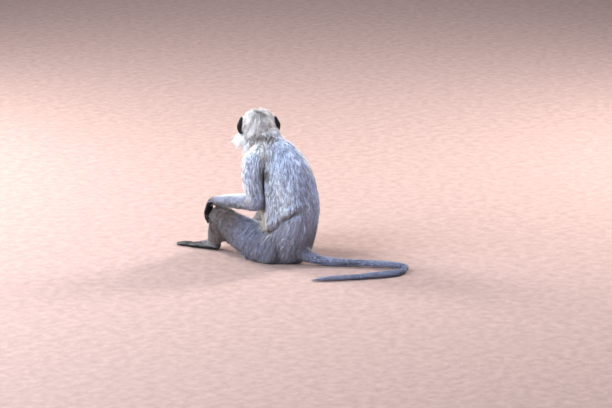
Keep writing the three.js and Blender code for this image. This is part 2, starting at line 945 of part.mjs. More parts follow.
const [rumpCore, chestCore] = cutAt(trunkCore, trunkCore, waist);
const [neckCore, headCut] = cutAt(neck.solid(), headSolid().transform(place), nape);
const headGrown = keepSide(headCore(GAP).transform(place), nape.point, nape.normal, 0);
const rumpRows = [0.36, 0.18, 0.03],
  chestRows = [0.84, 0.68, 0.52];
const [rumpGrown, chestGrown] = [-1, 1].map((way) =>
  keepSide(trunkGrown, waist.point, waist.normal.clone().multiplyScalar(way), 0),
);
plan("chest", chestCore, chestGrown, COAT, trunkCoat(chestRows));
plan("rump", rumpCore, rumpGrown, COAT, trunkCoat(rumpRows));
plan("head", headCut, headGrown, PALE_COAT, headCoats());
plan(
  "neck",
  neckCore.subtract(trunkGrown),
  keepSide(neck.solid(GAP), nape.point, nape.normal.clone().negate(), 0),
  PALE_COAT,
  neckCoat(),
);

for (const [name, side, pose] of SIDES) {
  const { upper, fore, upperArm, forearm, hand } = armOf(pose, side);
  const { thigh, shin, thighSolid, shinSolid, foot } = legOf(pose, side);
  const earMatrix = headMatrix
    .clone()
    .multiply(new THREE.Matrix4().makeTranslation(side * EAR.at[0], EAR.at[1], EAR.at[2]))
    .multiply(new THREE.Matrix4().makeRotationZ(radians(side * EAR.turn)));
  const ear = (grow, forward = 0) =>
    earSolid(side, grow).translate(0, forward, 0).transform(manifoldMatrix(earMatrix));
  plan(
    "ear_" + name,
    ear(0).subtract(headGrown).subtract(neck.solid(GAP)),
    join([ear(GAP), ear(0, GAP), ear(0, -GAP)]),
    BARE_SKIN,
  );
  plan("eye_" + name, eyeball(side).transform(place), null, EYEBALL);
  plan(
    "upper_arm_" + name,
    upperArm.subtract(trunkGrown),
    upper.solid(GAP),
    COAT,
    limbCoat(upper, [0.08, 0.44], -80, 130, 3, 0.12),
  );
  plan("forearm_" + name, forearm.subtract(trunkGrown), fore.solid(GAP), COAT);
  plan("hand_" + name, hand.subtract(shin.solid(GAP)), null, BARE_SKIN);
  plan(
    "thigh_" + name,
    thighSolid.subtract(trunkGrown),
    thigh.solid(GAP),
    COAT,
    limbCoat(thigh, [0.02, 0.4], -115, 55, 3, -0.25),
  );
  plan("shin_" + name, shinSolid, shin.solid(GAP), COAT);
  plan("foot_" + name, foot, null, BARE_SKIN);
}
for (let i = 0; i < TAIL_LENGTHS; i++) {
  const length = tailLength(i);
  plan("tail_" + (i + 1), i ? length : length.subtract(trunkGrown), length, COAT);
}

const touches = (a, b) => {
  const p = a.boundingBox(),
    q = b.boundingBox();
  return [0, 1, 2].every((k) => p.min[k] < q.max[k] && q.min[k] < p.max[k]);
};

const buried = (lock, solid) =>
  touches(lock, solid) && lock.intersect(solid).volume() > MOST_BURIED * lock.volume();

// Each coat is fused into its own node. Locks that would lie mostly inside a neighbour are left out, and the rest
// are kept out of the other nodes' cores and laid against the coats before them.
const laid = [];
for (const node of nodes) {
  const others = nodes
    .filter((other) => other !== node && other.grown)
    .map((other) => other.grown);
  const free = node.coat.locks
    .map((lock, i) => ({ lock, grown: node.coat.grown[i] }))
    .filter(({ lock }) => ![...others, ...laid].some((o) => buried(lock, o)));
  let solid = node.core;
  if (free.length) {
    let coat = join(free.map((f) => f.lock));
    for (const other of others)
      if (touches(coat, other)) coat = coat.subtract(other);
    solid = solid.add(coat);
  }
  for (const earlier of laid)
    if (touches(solid, earlier)) solid = solid.subtract(earlier);
  if (free.length) laid.push(join(free.map((f) => f.grown)));
  addNode(node.name, standOnFloor(solid), node.material);
}

export default group;
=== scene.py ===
# A grey langur sitting on the ground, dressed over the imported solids: one skin, a coat of tufts that follows
# the lie of the hair, bare black face, hands, feet and ears, eyes and nails. It faces -Y and its left is +X.
import math

import bmesh
import bpy
import numpy as np
from mathutils import Matrix, Vector
from mathutils.bvhtree import BVHTree
from mathutils.kdtree import KDTree


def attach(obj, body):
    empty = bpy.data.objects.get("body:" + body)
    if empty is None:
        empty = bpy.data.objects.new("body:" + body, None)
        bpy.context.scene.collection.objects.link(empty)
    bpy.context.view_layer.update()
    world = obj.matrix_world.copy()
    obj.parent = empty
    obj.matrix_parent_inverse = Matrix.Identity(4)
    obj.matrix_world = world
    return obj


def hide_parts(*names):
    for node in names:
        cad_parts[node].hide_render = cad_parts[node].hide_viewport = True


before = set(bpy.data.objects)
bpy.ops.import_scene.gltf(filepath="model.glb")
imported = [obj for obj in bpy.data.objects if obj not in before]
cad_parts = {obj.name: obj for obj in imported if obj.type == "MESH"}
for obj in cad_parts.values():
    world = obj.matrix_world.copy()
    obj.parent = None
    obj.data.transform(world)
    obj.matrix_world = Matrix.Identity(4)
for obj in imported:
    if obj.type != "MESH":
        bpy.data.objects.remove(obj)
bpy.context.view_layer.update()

MM = 0.001
chance = np.random.default_rng(11)

# ---------------------------------------------------------------- driving sizes, millimetres
# Joints of the pose, left and right.
LEFT = dict(shoulder=(99, -70, 388), elbow=(122, -22, 238), wrist=(175, -209, 219), hip=(60, -6, 68),
            knee=(157, -194, 160), ankle=(124, -281, 44), heading=-20)
RIGHT = dict(shoulder=(-75, -84, 374), elbow=(-124, -26, 236), wrist=(-140, -204, 236), hip=(-60, -6, 68),
             knee=(-127, -184, 176), ankle=(-40, -254, 46), heading=-26)
# Half widths and half depths of a limb out to the tips of the coat, at shares of its length.
UPPER_ARM = [(0, 44, 46), (0.33, 39, 41), (0.67, 35, 37), (1, 29, 30)]
FOREARM = [(0, 29, 30), (0.35, 27, 29), (0.7, 23, 24), (1, 17, 15)]
THIGH = [(0, 66, 80), (0.35, 61, 75), (0.7, 50, 62), (1, 40, 42)]
SHIN = [(0, 40, 42), (0.3, 41, 44), (0.7, 34, 39), (1, 24, 25)]
# Stations out to the tips of the coat: centre, half width, half depth.
TRUNK = [(0, 18, 58, 92, 84), (0, 24, 135, 105, 105), (0, 18, 212, 113, 123), (0, 12, 288, 105, 115),
         (2, -6, 358, 92, 97), (4, -36, 408, 68, 72)]
NECK = [(4, -42, 408, 62, 60), (12, -76, 442, 58, 57), (21, -106, 474, 50, 50)]
SHOULDER_SLOPE = dict(start=(20, -58, 418), girth=(42, 42))  # from the root of the neck out to each shoulder
TAIL = [(0, 60, 64, 34, 34), (-12, 98, 38, 27, 27), (-56, 158, 19, 20, 20), (-150, 262, 16, 17, 17),
        (-226, 356, 15, 16, 16), (-242, 408, 14, 15, 15), (-190, 440, 14, 15, 15), (-56, 394, 12, 13, 13),
        (72, 322, 10, 11, 11), (118, 292, 5, 5, 5)]
# How deep the skin lies under the tips, at the first and last station.
COAT_DEPTH = dict(trunk=(14, 14), neck=(13, 13), upper_arm=(11, 8), forearm=(8, 2), thigh=(11, 9),
                  shin=(9, 2), tail=(11, 3))

HEAD_CENTRE = (23, -135, 500)
HEAD_TURN, HEAD_NOD = -34, 4
# Ellipsoids of the head in its own frame: centre, radii. Those off the middle are mirrored.
SKULL_FORMS = [
    ((0, 12, 7), (48, 50, 48)),  # braincase
    ((0, -20, -8), (38, 28, 40)),  # face
    ((26, -24, -12), (15, 17, 20)),  # cheek
    ((14, -44, 13.5), (17, 9, 7)),  # brow ridge
    ((0, -45, 12), (12, 8, 7)),  # between the brows
    ((0, -46, -22), (19, 20, 15)),  # muzzle
    ((0, -60, -21.5), (14.5, 7, 6.5)),  # upper lip
    ((0, -57.5, -31.5), (12.5, 7, 5)),  # lower lip
    ((0, -50, -39), (12, 11, 9)),  # chin
    ((0, -52, 1), (4.5, 7, 13)),  # bridge of the nose
    ((0, -63, -9), (5, 5.5, 4.5)),  # tip of the nose
    ((4.8, -61, -11), (3.6, 4.6, 3.6)),  # wing of the nose
    ((0, 22, -30), (38, 32, 32)),  # nape
]
HOLLOWS = [
    ((16, -62, 0), (11.5, 12, 7.5)),  # eye socket
    ((23, -60, -20), (7, 12, 12)),  # between cheek and muzzle
]
SOFTNESS = 3.8  # how far those forms run into each other
HEAD_HEART = np.array((0, -20, 0))
EYE = dict(x=14.5, y=-43.4, z=1.5, radius=8.6, wide=15.5, high=8.6)
LID = 1.25  # thickness of the lids
EAR = dict(at=(62, 10, 3), height=63, width=39, depth=6, point=2, turn=34)


# ---------------------------------------------------------------- meshes
def deselect():
    for obj in bpy.context.selected_objects:
        obj.select_set(False)


def only(obj):
    deselect()
    obj.select_set(True)
    bpy.context.view_layer.objects.active = obj


def points_of(obj):
    flat = np.empty(len(obj.data.vertices) * 3)
    obj.data.vertices.foreach_get("co", flat)
    return flat.reshape(-1, 3)


def place_points(obj, points):
    obj.data.vertices.foreach_set("co", np.ascontiguousarray(points, float).ravel())
    obj.data.update()


def normals_of(obj):
    flat = np.empty(len(obj.data.vertices) * 3)
    obj.data.vertex_normals.foreach_get("vector", flat)
    return flat.reshape(-1, 3)


def triangles_of(obj):
    obj.data.calc_loop_triangles()
    flat = np.empty(len(obj.data.loop_triangles) * 3, int)
    obj.data.loop_triangles.foreach_get("vertices", flat)
    return flat.reshape(-1, 3)


def shade_smooth(mesh):
    mesh.polygons.foreach_set("use_smooth", np.ones(len(mesh.polygons), bool))


def ball(name, segments, rings, shape):
    """A closed ball whose points are moved to shape(points on the unit ball)."""
    deselect()
    bpy.ops.mesh.primitive_uv_sphere_add(segments=segments, ring_count=rings, radius=1)
    obj = bpy.context.object
    obj.name = obj.data.name = name
    place_points(obj, shape(points_of(obj)))
    return obj


def apply(obj, kind, **values):
    only(obj)
    modifier = obj.modifiers.new(kind.lower(), kind)
    for key, value in values.items():
        setattr(modifier, key, value)
    bpy.ops.object.modifier_apply(modifier=modifier.name)


def joined(name, objs):
    deselect()
    for obj in objs:
        obj.select_set(True)
    bpy.context.view_layer.objects.active = objs[0]
    bpy.ops.object.join()
    objs[0].name = objs[0].data.name = name
    return objs[0]


def unite(obj, others):
    for other in others:
        apply(obj, "BOOLEAN", object=other, operation="UNION", solver="MANIFOLD")
        bpy.data.objects.remove(other)


def unit(v):
    return v / np.maximum(np.linalg.norm(v, axis=-1, keepdims=True), 1e-12)


def along_tangent(v, normal):
    return unit(v - np.sum(v * normal, axis=-1, keepdims=True) * normal)


def smooth_step(low, high, x):
    s = np.clip((x - low) / (high - low), 0, 1)
    return s * s * (3 - 2 * s)


def bell(away, width):
    return np.exp(-((away / width) ** 2))


# ---------------------------------------------------------------- tubes
def curve(points, t):
    """Points of a centripetal Catmull-Rom curve at shares t of its stations."""
    points = np.asarray(points, float)
    row = np.vstack([2 * points[0] - points[1], points, 2 * points[-1] - points[-2]])
    last = len(points) - 1
    whole = np.clip(np.floor(t * last).astype(int), 0, last - 1)
    s = (t * last - whole)[:, None]
    a, b, c, d = (row[whole + k] for k in range(4))

    def span(p, q):
        return np.maximum(np.sum((q - p) ** 2, axis=1) ** 0.25, 1e-4)[:, None]

    ab, bc, cd = span(a, b), span(b, c), span(c, d)
    leave = ((b - a) / ab - (c - a) / (ab + bc) + (c - b) / bc) * bc
    reach = ((c - b) / bc - (d - b) / (bc + cd) + (d - c) / cd) * bc
    return b + leave * s + (3 * (c - b) - 2 * leave - reach) * s**2 + (2 * (b - c) + leave + reach) * s**3


class Tube:
    """A limb through stations (x, y, z, half width, half depth) in millimetres, with domes at its ends."""

    TABLE = 161

    def __init__(self, stations, across=(1, 0, 0), domes=(0, 0)):
        stations = np.asarray(stations, float)
        self.centres, self.sizes = stations[:, :3] * MM, stations[:, 3:5] * MM
        self.side = np.asarray(across, float)
        self.domes = np.asarray(domes) * MM
        self.table = self.frame(np.linspace(0, 1, self.TABLE))

    def frame(self, t):
        """Centre, across, deep, tangent and half sizes at shares t."""
        centre = curve(self.centres, t)
        step = 1e-3
        ahead = curve(self.centres, np.clip(t + step, 0, 1))
        behind = curve(self.centres, np.clip(t - step, 0, 1))
        tangent = unit(ahead - behind)
        across = along_tangent(np.broadcast_to(self.side, tangent.shape), tangent)
        return centre, across, np.cross(tangent, across), tangent, curve(self.sizes, t)

    def shape(self, unit_points):
        """The unit ball's points drawn out along the tube, its poles on the two domes."""
        DOME_SHARE = 0.14
        polar = 1 - np.arccos(np.clip(unit_points[:, 2], -1, 1)) / math.pi
        angle = np.arctan2(unit_points[:, 1], unit_points[:, 0])
        t = np.clip((polar - DOME_SHARE) / (1 - 2 * DOME_SHARE), 0, 1)
        centre, across, deep, tangent, size = self.frame(t)
        start = np.clip(1 - polar / DOME_SHARE, 0, 1) * math.pi / 2
        end = np.clip(1 - (1 - polar) / DOME_SHARE, 0, 1) * math.pi / 2
        scale = np.cos(start) * np.cos(end)
        past = self.domes[1] * np.sin(end) - self.domes[0] * np.sin(start)
        return (centre + across * (size[:, 0] * scale * np.cos(angle))[:, None]
                + deep * (size[:, 1] * scale * np.sin(angle))[:, None] + tangent * past[:, None])

    def nearest(self, points):
        """Share of the length, angle round it, tangent, and height over the surface, for each point."""
        centre, across, deep, tangent, size = self.table
        far = np.sum(points**2, axis=1)[:, None] + np.sum(centre**2, axis=1)[None] - 2 * points @ centre.T
        at = np.argmin(far, axis=1)
        out = points - centre[at]
        beyond = np.sum(out * tangent[at], axis=1)
        a = np.sum(out * across[at], axis=1) / size[at, 0]
        b = np.sum(out * deep[at], axis=1) / size[at, 1]
        reach = np.sqrt(a * a + b * b + (beyond / size[at].min(axis=1)) ** 2)
        height = (reach - 1) * size[at].min(axis=1)
        return at / (self.TABLE - 1), np.arctan2(b, a), tangent[at], height


def inside(stations, depths):
    """Stations drawn in from the tips of the coat to the skin."""
    last = len(stations) - 1
    drawn = []
    for i, (x, y, z, wide, deep) in enumerate(stations):
        by = depths[0] + (depths[1] - depths[0]) * i / last
        drawn.append((x, y, z, max(wide - by, 2), max(deep - by, 2)))
    return drawn


def between(start, end, profile, bow):
    """Stations from one joint to the next, bowed to one side between them."""
    start, end, bow = (np.asarray(v, float) for v in (start, end, bow))
    return [(*(start + (end - start) * share + bow * math.sin(math.pi * share)), wide, deep)
            for share, wide, deep in profile]


def limb_tubes(pose, side):
    """Upper arm, forearm, thigh and shin of one side, at the skin."""
    arm = between(pose["shoulder"], pose["elbow"], UPPER_ARM, (side * 8, -8, 0))
    fore = between(pose["elbow"], pose["wrist"], FOREARM, (0, 0, 4))
    thigh = between(pose["hip"], pose["knee"], THIGH, (side * 4, 0, -18))
    shin = between(pose["knee"], pose["ankle"], SHIN, (0, 8, 0))
    return dict(
        upper_arm=Tube(inside(arm, COAT_DEPTH["upper_arm"]), (0, side, 0), (28, 20)),
        forearm=Tube(inside(fore, COAT_DEPTH["forearm"]), (1, 0, 0), (22, 12)),
        thigh=Tube(inside(thigh, COAT_DEPTH["thigh"]), (side, 0, 0), (46, 27)),
        shin=Tube(inside(shin, COAT_DEPTH["shin"]), (1, 0, 0), (29, 16)),
    )


trunk = Tube(inside(TRUNK, COAT_DEPTH["trunk"]), domes=(58, 40))
neck = Tube(inside(NECK, COAT_DEPTH["neck"]), domes=(14, 10))
tail = Tube(inside(TAIL, COAT_DEPTH["tail"]), (0, 0, 1), (10, 8))
SIDES = {"left": (1, LEFT), "right": (-1, RIGHT)}


def shoulder_slope(pose, side):
    x, y, z = SHOULDER_SLOPE["start"]
    inner, outer = (girth - COAT_DEPTH["neck"][0] for girth in SHOULDER_SLOPE["girth"])
    stations = [(side * x, y, z, inner, inner), (*pose["shoulder"], outer, outer)]
    return Tube(stations, (0, 1, 0), (inner, outer))


slopes = [shoulder_slope(pose, side) for side, pose in SIDES.values()]
limbs = {name: limb_tubes(pose, side) for name, (side, pose) in SIDES.items()}


# ---------------------------------------------------------------- hands and feet
def spots(origin, along, across, up):
    """A function that places a point by its reach along, across and up from an origin, in millimetres."""
    origin, axes = np.asarray(origin, float), np.array([along, across, up], float)
    return lambda forward, sideways, rise: tuple(origin + np.array([forward, sideways, rise]) @ axes)


# Share of the digit, swelling and spread of each knuckle, and of the pad under the tip.
KNUCKLES = ((0.03, 0.26, 0.07), (0.38, 0.15, 0.07), (0.71, 0.12, 0.06))
PAD = (0.93, 0.07, 0.08)
DIGIT_STATIONS = 13


def digit(path, radii, across):
    """A finger or toe: a tube that swells at its knuckles and at its pad."""

    def swelling(share, at, high, wide):
        return high * math.exp(-((share - at) / wide) ** 2)

    stations = []
    for i, centre in enumerate(curve(np.array(path), np.linspace(0, 1, DIGIT_STATIONS))):
        share = i / (DIGIT_STATIONS - 1)
        radius = np.interp(share, np.linspace(0, 1, len(radii)), radii)
        knuckle = sum(swelling(share, *place) for place in KNUCKLES)
        pad = swelling(share, *PAD)
        stations.append((*centre, radius * (1 + knuckle + pad), radius * 0.92 * (1 + knuckle)))
    return Tube(stations, across, (radii[0], radii[-1]))


def hand_parts(pose, side):
    """Palm, four curled fingers and a short thumb, hanging from the wrist over the knee."""
    wrist, elbow = np.array(pose["wrist"], float), np.array(pose["elbow"], float)
    along = unit((wrist - elbow) * (1, 1, 0))
    across = np.array((-along[1], along[0], 0))
    spot = spots(wrist, along, across, (0, 0, -1))
    palm = Tube([(*spot(-14, 0, -1), 15, 13), (*spot(-2, 0, 0), 16.5, 13.5), (*spot(12, 0, 3), 19, 12),
                 (*spot(25, 0, 15), 20.5, 9.5), (*spot(30, 0, 29), 19, 6.5)], across, (8, 11))
    digits = []
    for sideways, size in ((-15, 0.86), (-5, 1), (5, 0.97), (15, 0.82)):
        fan = 0.22 * sideways * side
        path = [spot(25, sideways * 0.85, 16), spot(31 + fan, sideways * 1.12, 26 + 22 * size),
                spot(26 + fan * 1.5, sideways * 1.3, 26 + 50 * size),
                spot(13 + fan * 2, sideways * 1.4, 26 + 72 * size)]
        digits.append(digit(path, (5, 5.1, 4.6, 3.6), across))
    thumb = [spot(0, -side * 14, 9), spot(5, -side * 22, 23), spot(9, -side * 23, 41)]
    digits.append(digit(thumb, (7.4, 6.2, 4.6), across))
    return palm, digits, along


def foot_parts(pose, side):
    """Sole, ankle, four long toes and the big toe that stands off, flat on the ground."""
    turn = math.radians(pose["heading"])
    along = np.array((-math.sin(turn), -math.cos(turn), 0))
    across = np.array((-along[1], along[0], 0))
    ankle = np.array(pose["ankle"], float)
    spot = spots(ankle * (1, 1, 0), along, across, (0, 0, 1))
    sole = Tube([(*spot(-12, 0, 17), 19, 17), (*spot(8, 0, 20), 20.5, 20), (*spot(45, 0, 14), 20.5, 14),
                 (*spot(82, side * 2, 10), 21.5, 10), (*spot(104, side * 2, 8), 20, 8)], across, (11, 8))
    shin = unit(np.array(pose["knee"], float) - ankle)
    over = [(*(ankle + shin * reach), wide, deep) for reach, wide, deep in ((16, 19, 20), (0, 18.5, 19))]
    ankle_tube = Tube(over + [(*spot(0, 0, 22), 17.5, 18.5)], (1, 0, 0), (4, 6))
    digits = []
    for sideways, size in ((-15, 0.92), (-5, 1.05), (5, 1.02), (15, 0.88)):
        path = [spot(forward, side * (sideways * spread + 2), rise) for forward, spread, rise in (
            (88, 0.9, 7), (98 + 22 * size, 1.04, 9), (98 + 45 * size, 1.12, 7), (98 + 63 * size, 1.16, 4.4))]
        digits.append(digit(path, (5.4, 5.2, 4.9, 4.1), across))
    big_toe = [spot(50, -side * 13, 9), spot(68, -side * 30, 9), spot(83, -side * 41, 6.4)]
    digits.append(digit(big_toe, (9, 7.4, 5.4), across))
    return sole, ankle_tube, digits


def fused(name, tubes, voxel, rounds, keep, segments=20, rings=40):
    """Tubes run together into one soft form, with a share of its faces kept."""
    body = joined(name, [ball(name, segments, rings, tube.shape) for tube in tubes])
    apply(body, "REMESH", mode="VOXEL", voxel_size=voxel, adaptivity=0)
    apply(body, "SMOOTH", factor=0.5, iterations=rounds)
    apply(body, "DECIMATE", ratio=keep)
    return body


# ---------------------------------------------------------------- head
head_matrix = (Matrix.Translation(Vector(HEAD_CENTRE) * MM) @ Matrix.Rotation(math.radians(HEAD_TURN), 4, "Z")
               @ Matrix.Rotation(math.radians(HEAD_NOD), 4, "X"))
HEAD_TURNS = np.array(head_matrix.to_3x3())
HEAD_PLACE = np.array(head_matrix.translation)


def from_head(points):
    """Millimetres in the head's frame to metres in the part's."""
    return points * MM @ HEAD_TURNS.T + HEAD_PLACE


def to_head(points):
    return (points - HEAD_PLACE) @ HEAD_TURNS / MM


def ellipsoid_distance(points, form, mirror):
    centre, radii = form
    local = points * (mirror, 1, 1) - centre
    k = np.linalg.norm(local / radii, axis=1)
    return k * (k - 1) / np.maximum(np.linalg.norm(local / np.square(radii), axis=1), 1e-6)


def both_sides(forms):
    return [(form, mirror) for form in forms for mirror in ((1, -1) if form[0][0] > 0 else (1,))]


def head_field(points):
    """Distance from the head's soft form, negative inside it."""
    forms = both_sides(SKULL_FORMS)
    total = sum(np.exp(-ellipsoid_distance(points, form, mirror) / SOFTNESS) for form, mirror in forms)
    distance = -SOFTNESS * np.log(total)
    for form, mirror in both_sides(HOLLOWS):
        within = -ellipsoid_distance(points, form, mirror)
        distance = SOFTNESS * np.logaddexp(distance / SOFTNESS, within / SOFTNESS)
    return distance


def head_surface(directions):
    """Where rays from the heart of the head leave its form."""
    NEAREST, FURTHEST, HALVINGS = 15.0, 100.0, 22
    low, high = np.full(len(directions), NEAREST), np.full(len(directions), FURTHEST)
    for _ in range(HALVINGS):
        middle = (low + high) / 2
        within = head_field(HEAD_HEART + directions * middle[:, None]) < 0
        low, high = np.where(within, middle, low), np.where(within, high, middle)
    return HEAD_HEART + directions * low[:, None]


def bare_face(points, margin=0):
    """1 on the bare skin of the face and a margin round it, 0 under the coat, in the head's frame."""
    x, y, z = points.T
    outline = (np.abs(x) - margin) / np.interp(z, (-44, -30, -8, 8, 18), (13, 25, 33, 33, 26))
    brow = smooth_step(20.5, 16, z - 0.004 * x * x - margin)
    chin = smooth_step(-44, -39, z + margin)
    front = smooth_step(-18, -28, y - margin)
    return smooth_step(1.06, 0.9, outline) * brow * chin * front


def mouth_height(x):
    return -27 + 0.12 * np.abs(x) - 0.9 * smooth_step(11, 17, np.abs(x))


def face_relief(points):
    """How far the skin stands out along its own direction on the face: lips, nostrils, creases."""
    x, y, z = points.T
    side = np.abs(x)
    relief = np.zeros(len(points))
    front = smooth_step(-38, -48, y)
    # The mouth line, with the lips rolled a little out above and below it.
    line = z - mouth_height(x)
    inside_mouth = smooth_step(18.5, 15, side) * front
    relief -= 3.2 * bell(line, 0.85) * inside_mouth
    relief += 0.9 * bell(np.abs(line) - 2.6, 1.5) * inside_mouth
    # Groove from nose to lip.
    relief -= 0.8 * bell(x, 1.1) * smooth_step(-25.5, -22.5, z) * smooth_step(-14, -17, z) * front
    # Comma-shaped nostrils that open to the sides.
    along = np.clip(((side - 2.6) * 3.0 + (z + 13.0) * 2.4) / (3.0**2 + 2.4**2), 0, 1)
    away = np.hypot(side - 2.6 - 3.0 * along, z + 13.0 - 2.4 * along)
    relief -= 3.6 * bell(away, 1.35 - 0.5 * along) * smooth_step(-54, -58, y)
    # Fold that runs from the wing of the nose past the mouth's corner.
    fold = side - np.interp(z, (-36, -26, -16, -8), (17.5, 20.5, 14.5, 8.2))
    relief -= 0.8 * bell(fold, 1.1) * smooth_step(-38, -32, z) * smooth_step(-7, -11, z) * front
    # Creases under the eye, one outside the other.
    for reach, deep in ((13.0, 0.55), (16.2, 0.45), (19.6, 0.3)):
        ring = np.hypot((x - np.sign(x) * EYE["x"]) * 0.92, (z - EYE["z"]) * 1.2) - reach
        under = smooth_step(-2, -7, z) * smooth_step(30, 24, side) * smooth_step(4, 7, side)
        relief -= deep * bell(ring, 0.6) * under
    # Creases across the root of the nose.
    for level in (5.0, 8.2):
        relief -= 0.4 * bell(z - level - 0.05 * side, 0.55) * smooth_step(6, 3, side) * front
    return relief


def eyelids(points):
    """Draws the skin round each eye onto the lids, and back behind the eyeball inside the opening."""
    out = points.copy()
    for side in (1, -1):
        centre = np.array((side * EYE["x"], EYE["y"], EYE["z"]))
        local = out - centre
        radius = EYE["radius"]
        on_ball = unit(local) * (radius + LID)
        across, up = on_ball[:, 0] * side, on_ball[:, 2]
        # The opening is an almond whose outer corner sits a little higher.
        half = EYE["wide"] / 2
        share = np.clip(across / half, -1, 1)
        axis = 0.8 * share
        upper = axis + EYE["high"] * 0.42 * (1 - np.abs(share) ** 2.2)
        lower = axis - EYE["high"] * 0.46 * (1 - np.abs(share) ** 2.0)
        middle, opening = (upper + lower) / 2, np.maximum((upper - lower) / 2, 0.05)
        gape = np.maximum(np.abs(up - middle) - opening, (np.abs(across) - half) * 0.9)
        away = np.hypot(local[:, 0], local[:, 2])
        near = smooth_step(16.0, 10.5, away) * (local[:, 1] < 4)
        # Lid: the ball's own curve, with a thick edge and a crease over it, easing into the socket.
        lid_radius = radius + LID + 0.4 * bell(gape - 0.9, 0.8)
        fold = 0.6 * bell(gape - 3.6, 0.6) * (up > 0) + 0.35 * bell(gape - 3.0, 0.6) * (up < 0)
        lid = centre + unit(local) * (lid_radius - fold)[:, None]
        out = out + (lid - out) * near[:, None]
        # Inside the opening the skin turns in behind the ball's front.
        pit = smooth_step(0.3, -0.3, gape) * (away < 12) * (local[:, 1] < 4)
        back = centre + unit(local) * (radius - 2.6)
        out = out + (back - out) * pit[:, None]
    return out


def head_directions(unit_points):
    """The unit ball's points as directions from the heart of the head, crowded towards the face."""
    polar = np.arccos(np.clip(unit_points[:, 2], -1, 1)) / math.pi  # 0 in the middle of the face
    from_face = math.pi * polar**1.4
    angle = np.arctan2(unit_points[:, 1], unit_points[:, 0])
    return unit(np.column_stack([
        np.sin(from_face) * np.cos(angle),
        -np.cos(from_face),
        np.sin(from_face) * np.sin(angle) - 0.12 * np.cos(from_face),
    ]))


def by_the_eye(place, reach):
    return math.hypot(abs(place.x) - EYE["x"], place.z - EYE["z"]) < reach and place.y < -30


def by_eye_or_mouth(place):
    return by_the_eye(place, 13) or (abs(place.x) < 20 and -32 < place.z < -5 and place.y < -44)


def head_skin():
    """The head's skin: the soft form, finer round eyes, nose and mouth, with lids, lips and creases."""
    head = ball("head_skin", 176, 136, head_directions)
    place_points(head, head_surface(points_of(head)))
    mesh = bmesh.new()
    mesh.from_mesh(head.data)
    for near in (by_eye_or_mouth, lambda place: by_the_eye(place, 7.5)):
        faces = [face for face in mesh.faces if near(face.calc_center_median())]
        mesh.edges.index_update()
        edges = sorted({edge for face in faces for edge in face.edges}, key=lambda edge: edge.index)
        bmesh.ops.subdivide_edges(mesh, edges=edges, cuts=1, use_grid_fill=True)
    bmesh.ops.triangulate(mesh, faces=[f for f in mesh.faces if len(f.verts) > 4])
    mesh.to_mesh(head.data)
    mesh.free()
    directions = unit(points_of(head) - HEAD_HEART)
    on = head_surface(directions)
    cover = 1 - bare_face(on)
    on = on + directions * (face_relief(on) * bare_face(on) - 1.8 * cover)[:, None]
    place_points(head, from_head(eyelids(on)))
    return head


def ear_shape(side):
    """An upright cup in its own frame: rim rolled in, inner fold and bowl, outer edge drawn to a point."""
    def shape(p):
        outward, back, up = p[:, 0], p[:, 1], p[:, 2]
        reach = np.hypot(outward, up)
        half = EAR["width"] / 2
        peak = EAR["point"] * bell(up - 0.1, 0.5) * np.maximum(outward, 0) ** 2
        front = smooth_step(0.0, -0.25, back)
        middle = np.hypot(outward - 0.12, up)
        bowl = front * np.maximum(0, 1 - middle * 1.2) ** 0.55 * 1.75
        # The fold inside the rim, and the rim itself.
        fold = 0.55 * bell(middle - 0.62, 0.08) * front * smooth_step(-0.5, 0.1, up)
        rim = 0.35 * bell(reach - 0.93, 0.07) * front
        y = back * EAR["depth"] + (bowl - fold - rim) * EAR["depth"] - reach**2 * 4
        taper = 1 - 0.22 * smooth_step(0, 1, up) - 0.12 * smooth_step(-0.4, -1, up)
        x = side * (outward * half * taper + peak)
        tip = 2.5 * bell(outward - 0.05, 0.4) * smooth_step(0.6, 1, up)
        z = up * EAR["height"] / 2 + tip - np.maximum(0, -up) * np.maximum(0, outward) * 5
        return np.column_stack([x, y, z])
    return shape


def ear_place(side):
    """The ear's centre and turn in the head's frame."""
    turned = np.array(Matrix.Rotation(math.radians(side * EAR["turn"]), 3, "Z"))
    return np.array(EAR["at"]) * (side, 1, 1), turned


def ear_skin(side):
    ear = ball("ear_skin", 72, 56, ear_shape(side))
    at, turned = ear_place(side)
    place_points(ear, from_head(points_of(ear) @ turned.T + at))
    if side < 0:
        ear.data.flip_normals()
    return ear


# ---------------------------------------------------------------- skin
SKIN_GRAIN = 0.01 * MM  # the skin's points are rounded to this


def in_order(obj):
    """The same mesh in the order of its places, because a boolean's own order differs from run to run."""
    points = points_of(obj)
    place = np.round(points / SKIN_GRAIN).astype(int)
    order = np.lexsort((*points.T, *place.T))
    rank = np.empty(len(order), int)
    rank[order] = np.arange(len(order))
    faces = []
    for polygon in obj.data.polygons:
        corners = [int(rank[v]) for v in polygon.vertices]
        first = corners.index(min(corners))
        faces.append(corners[first:] + corners[:first])
    old = obj.data
    mesh = bpy.data.meshes.new("ordered")
    mesh.from_pydata((place[order] * SKIN_GRAIN).tolist(), [], sorted(faces))
    obj.data = mesh
    bpy.data.meshes.remove(old)
    mesh.name = obj.name


def build_skin():
    body_tubes = [trunk, neck, tail, *slopes] + [tube for limb in limbs.values() for tube in limb.values()]
    body = fused("langur_skin", body_tubes, 5 * MM, 6, 0.36, segments=28, rings=90)
    extras = [head_skin()]
    for side, pose in SIDES.values():
        extras.append(ear_skin(side))
        palm, fingers, _ = hand_parts(pose, side)
        extras.append(fused("hand", [palm, *fingers], 1.3 * MM, 6, 0.34))
        sole, ankle, toes = foot_parts(pose, side)
        extras.append(fused("foot", [sole, ankle, *toes], 1.4 * MM, 6, 0.32))
    unite(body, extras)
    in_order(body)
    points = points_of(body)
    points[:, 2] = np.maximum(points[:, 2], 0.0)
    place_points(body, points)
    shade_smooth(body.data)
    return body


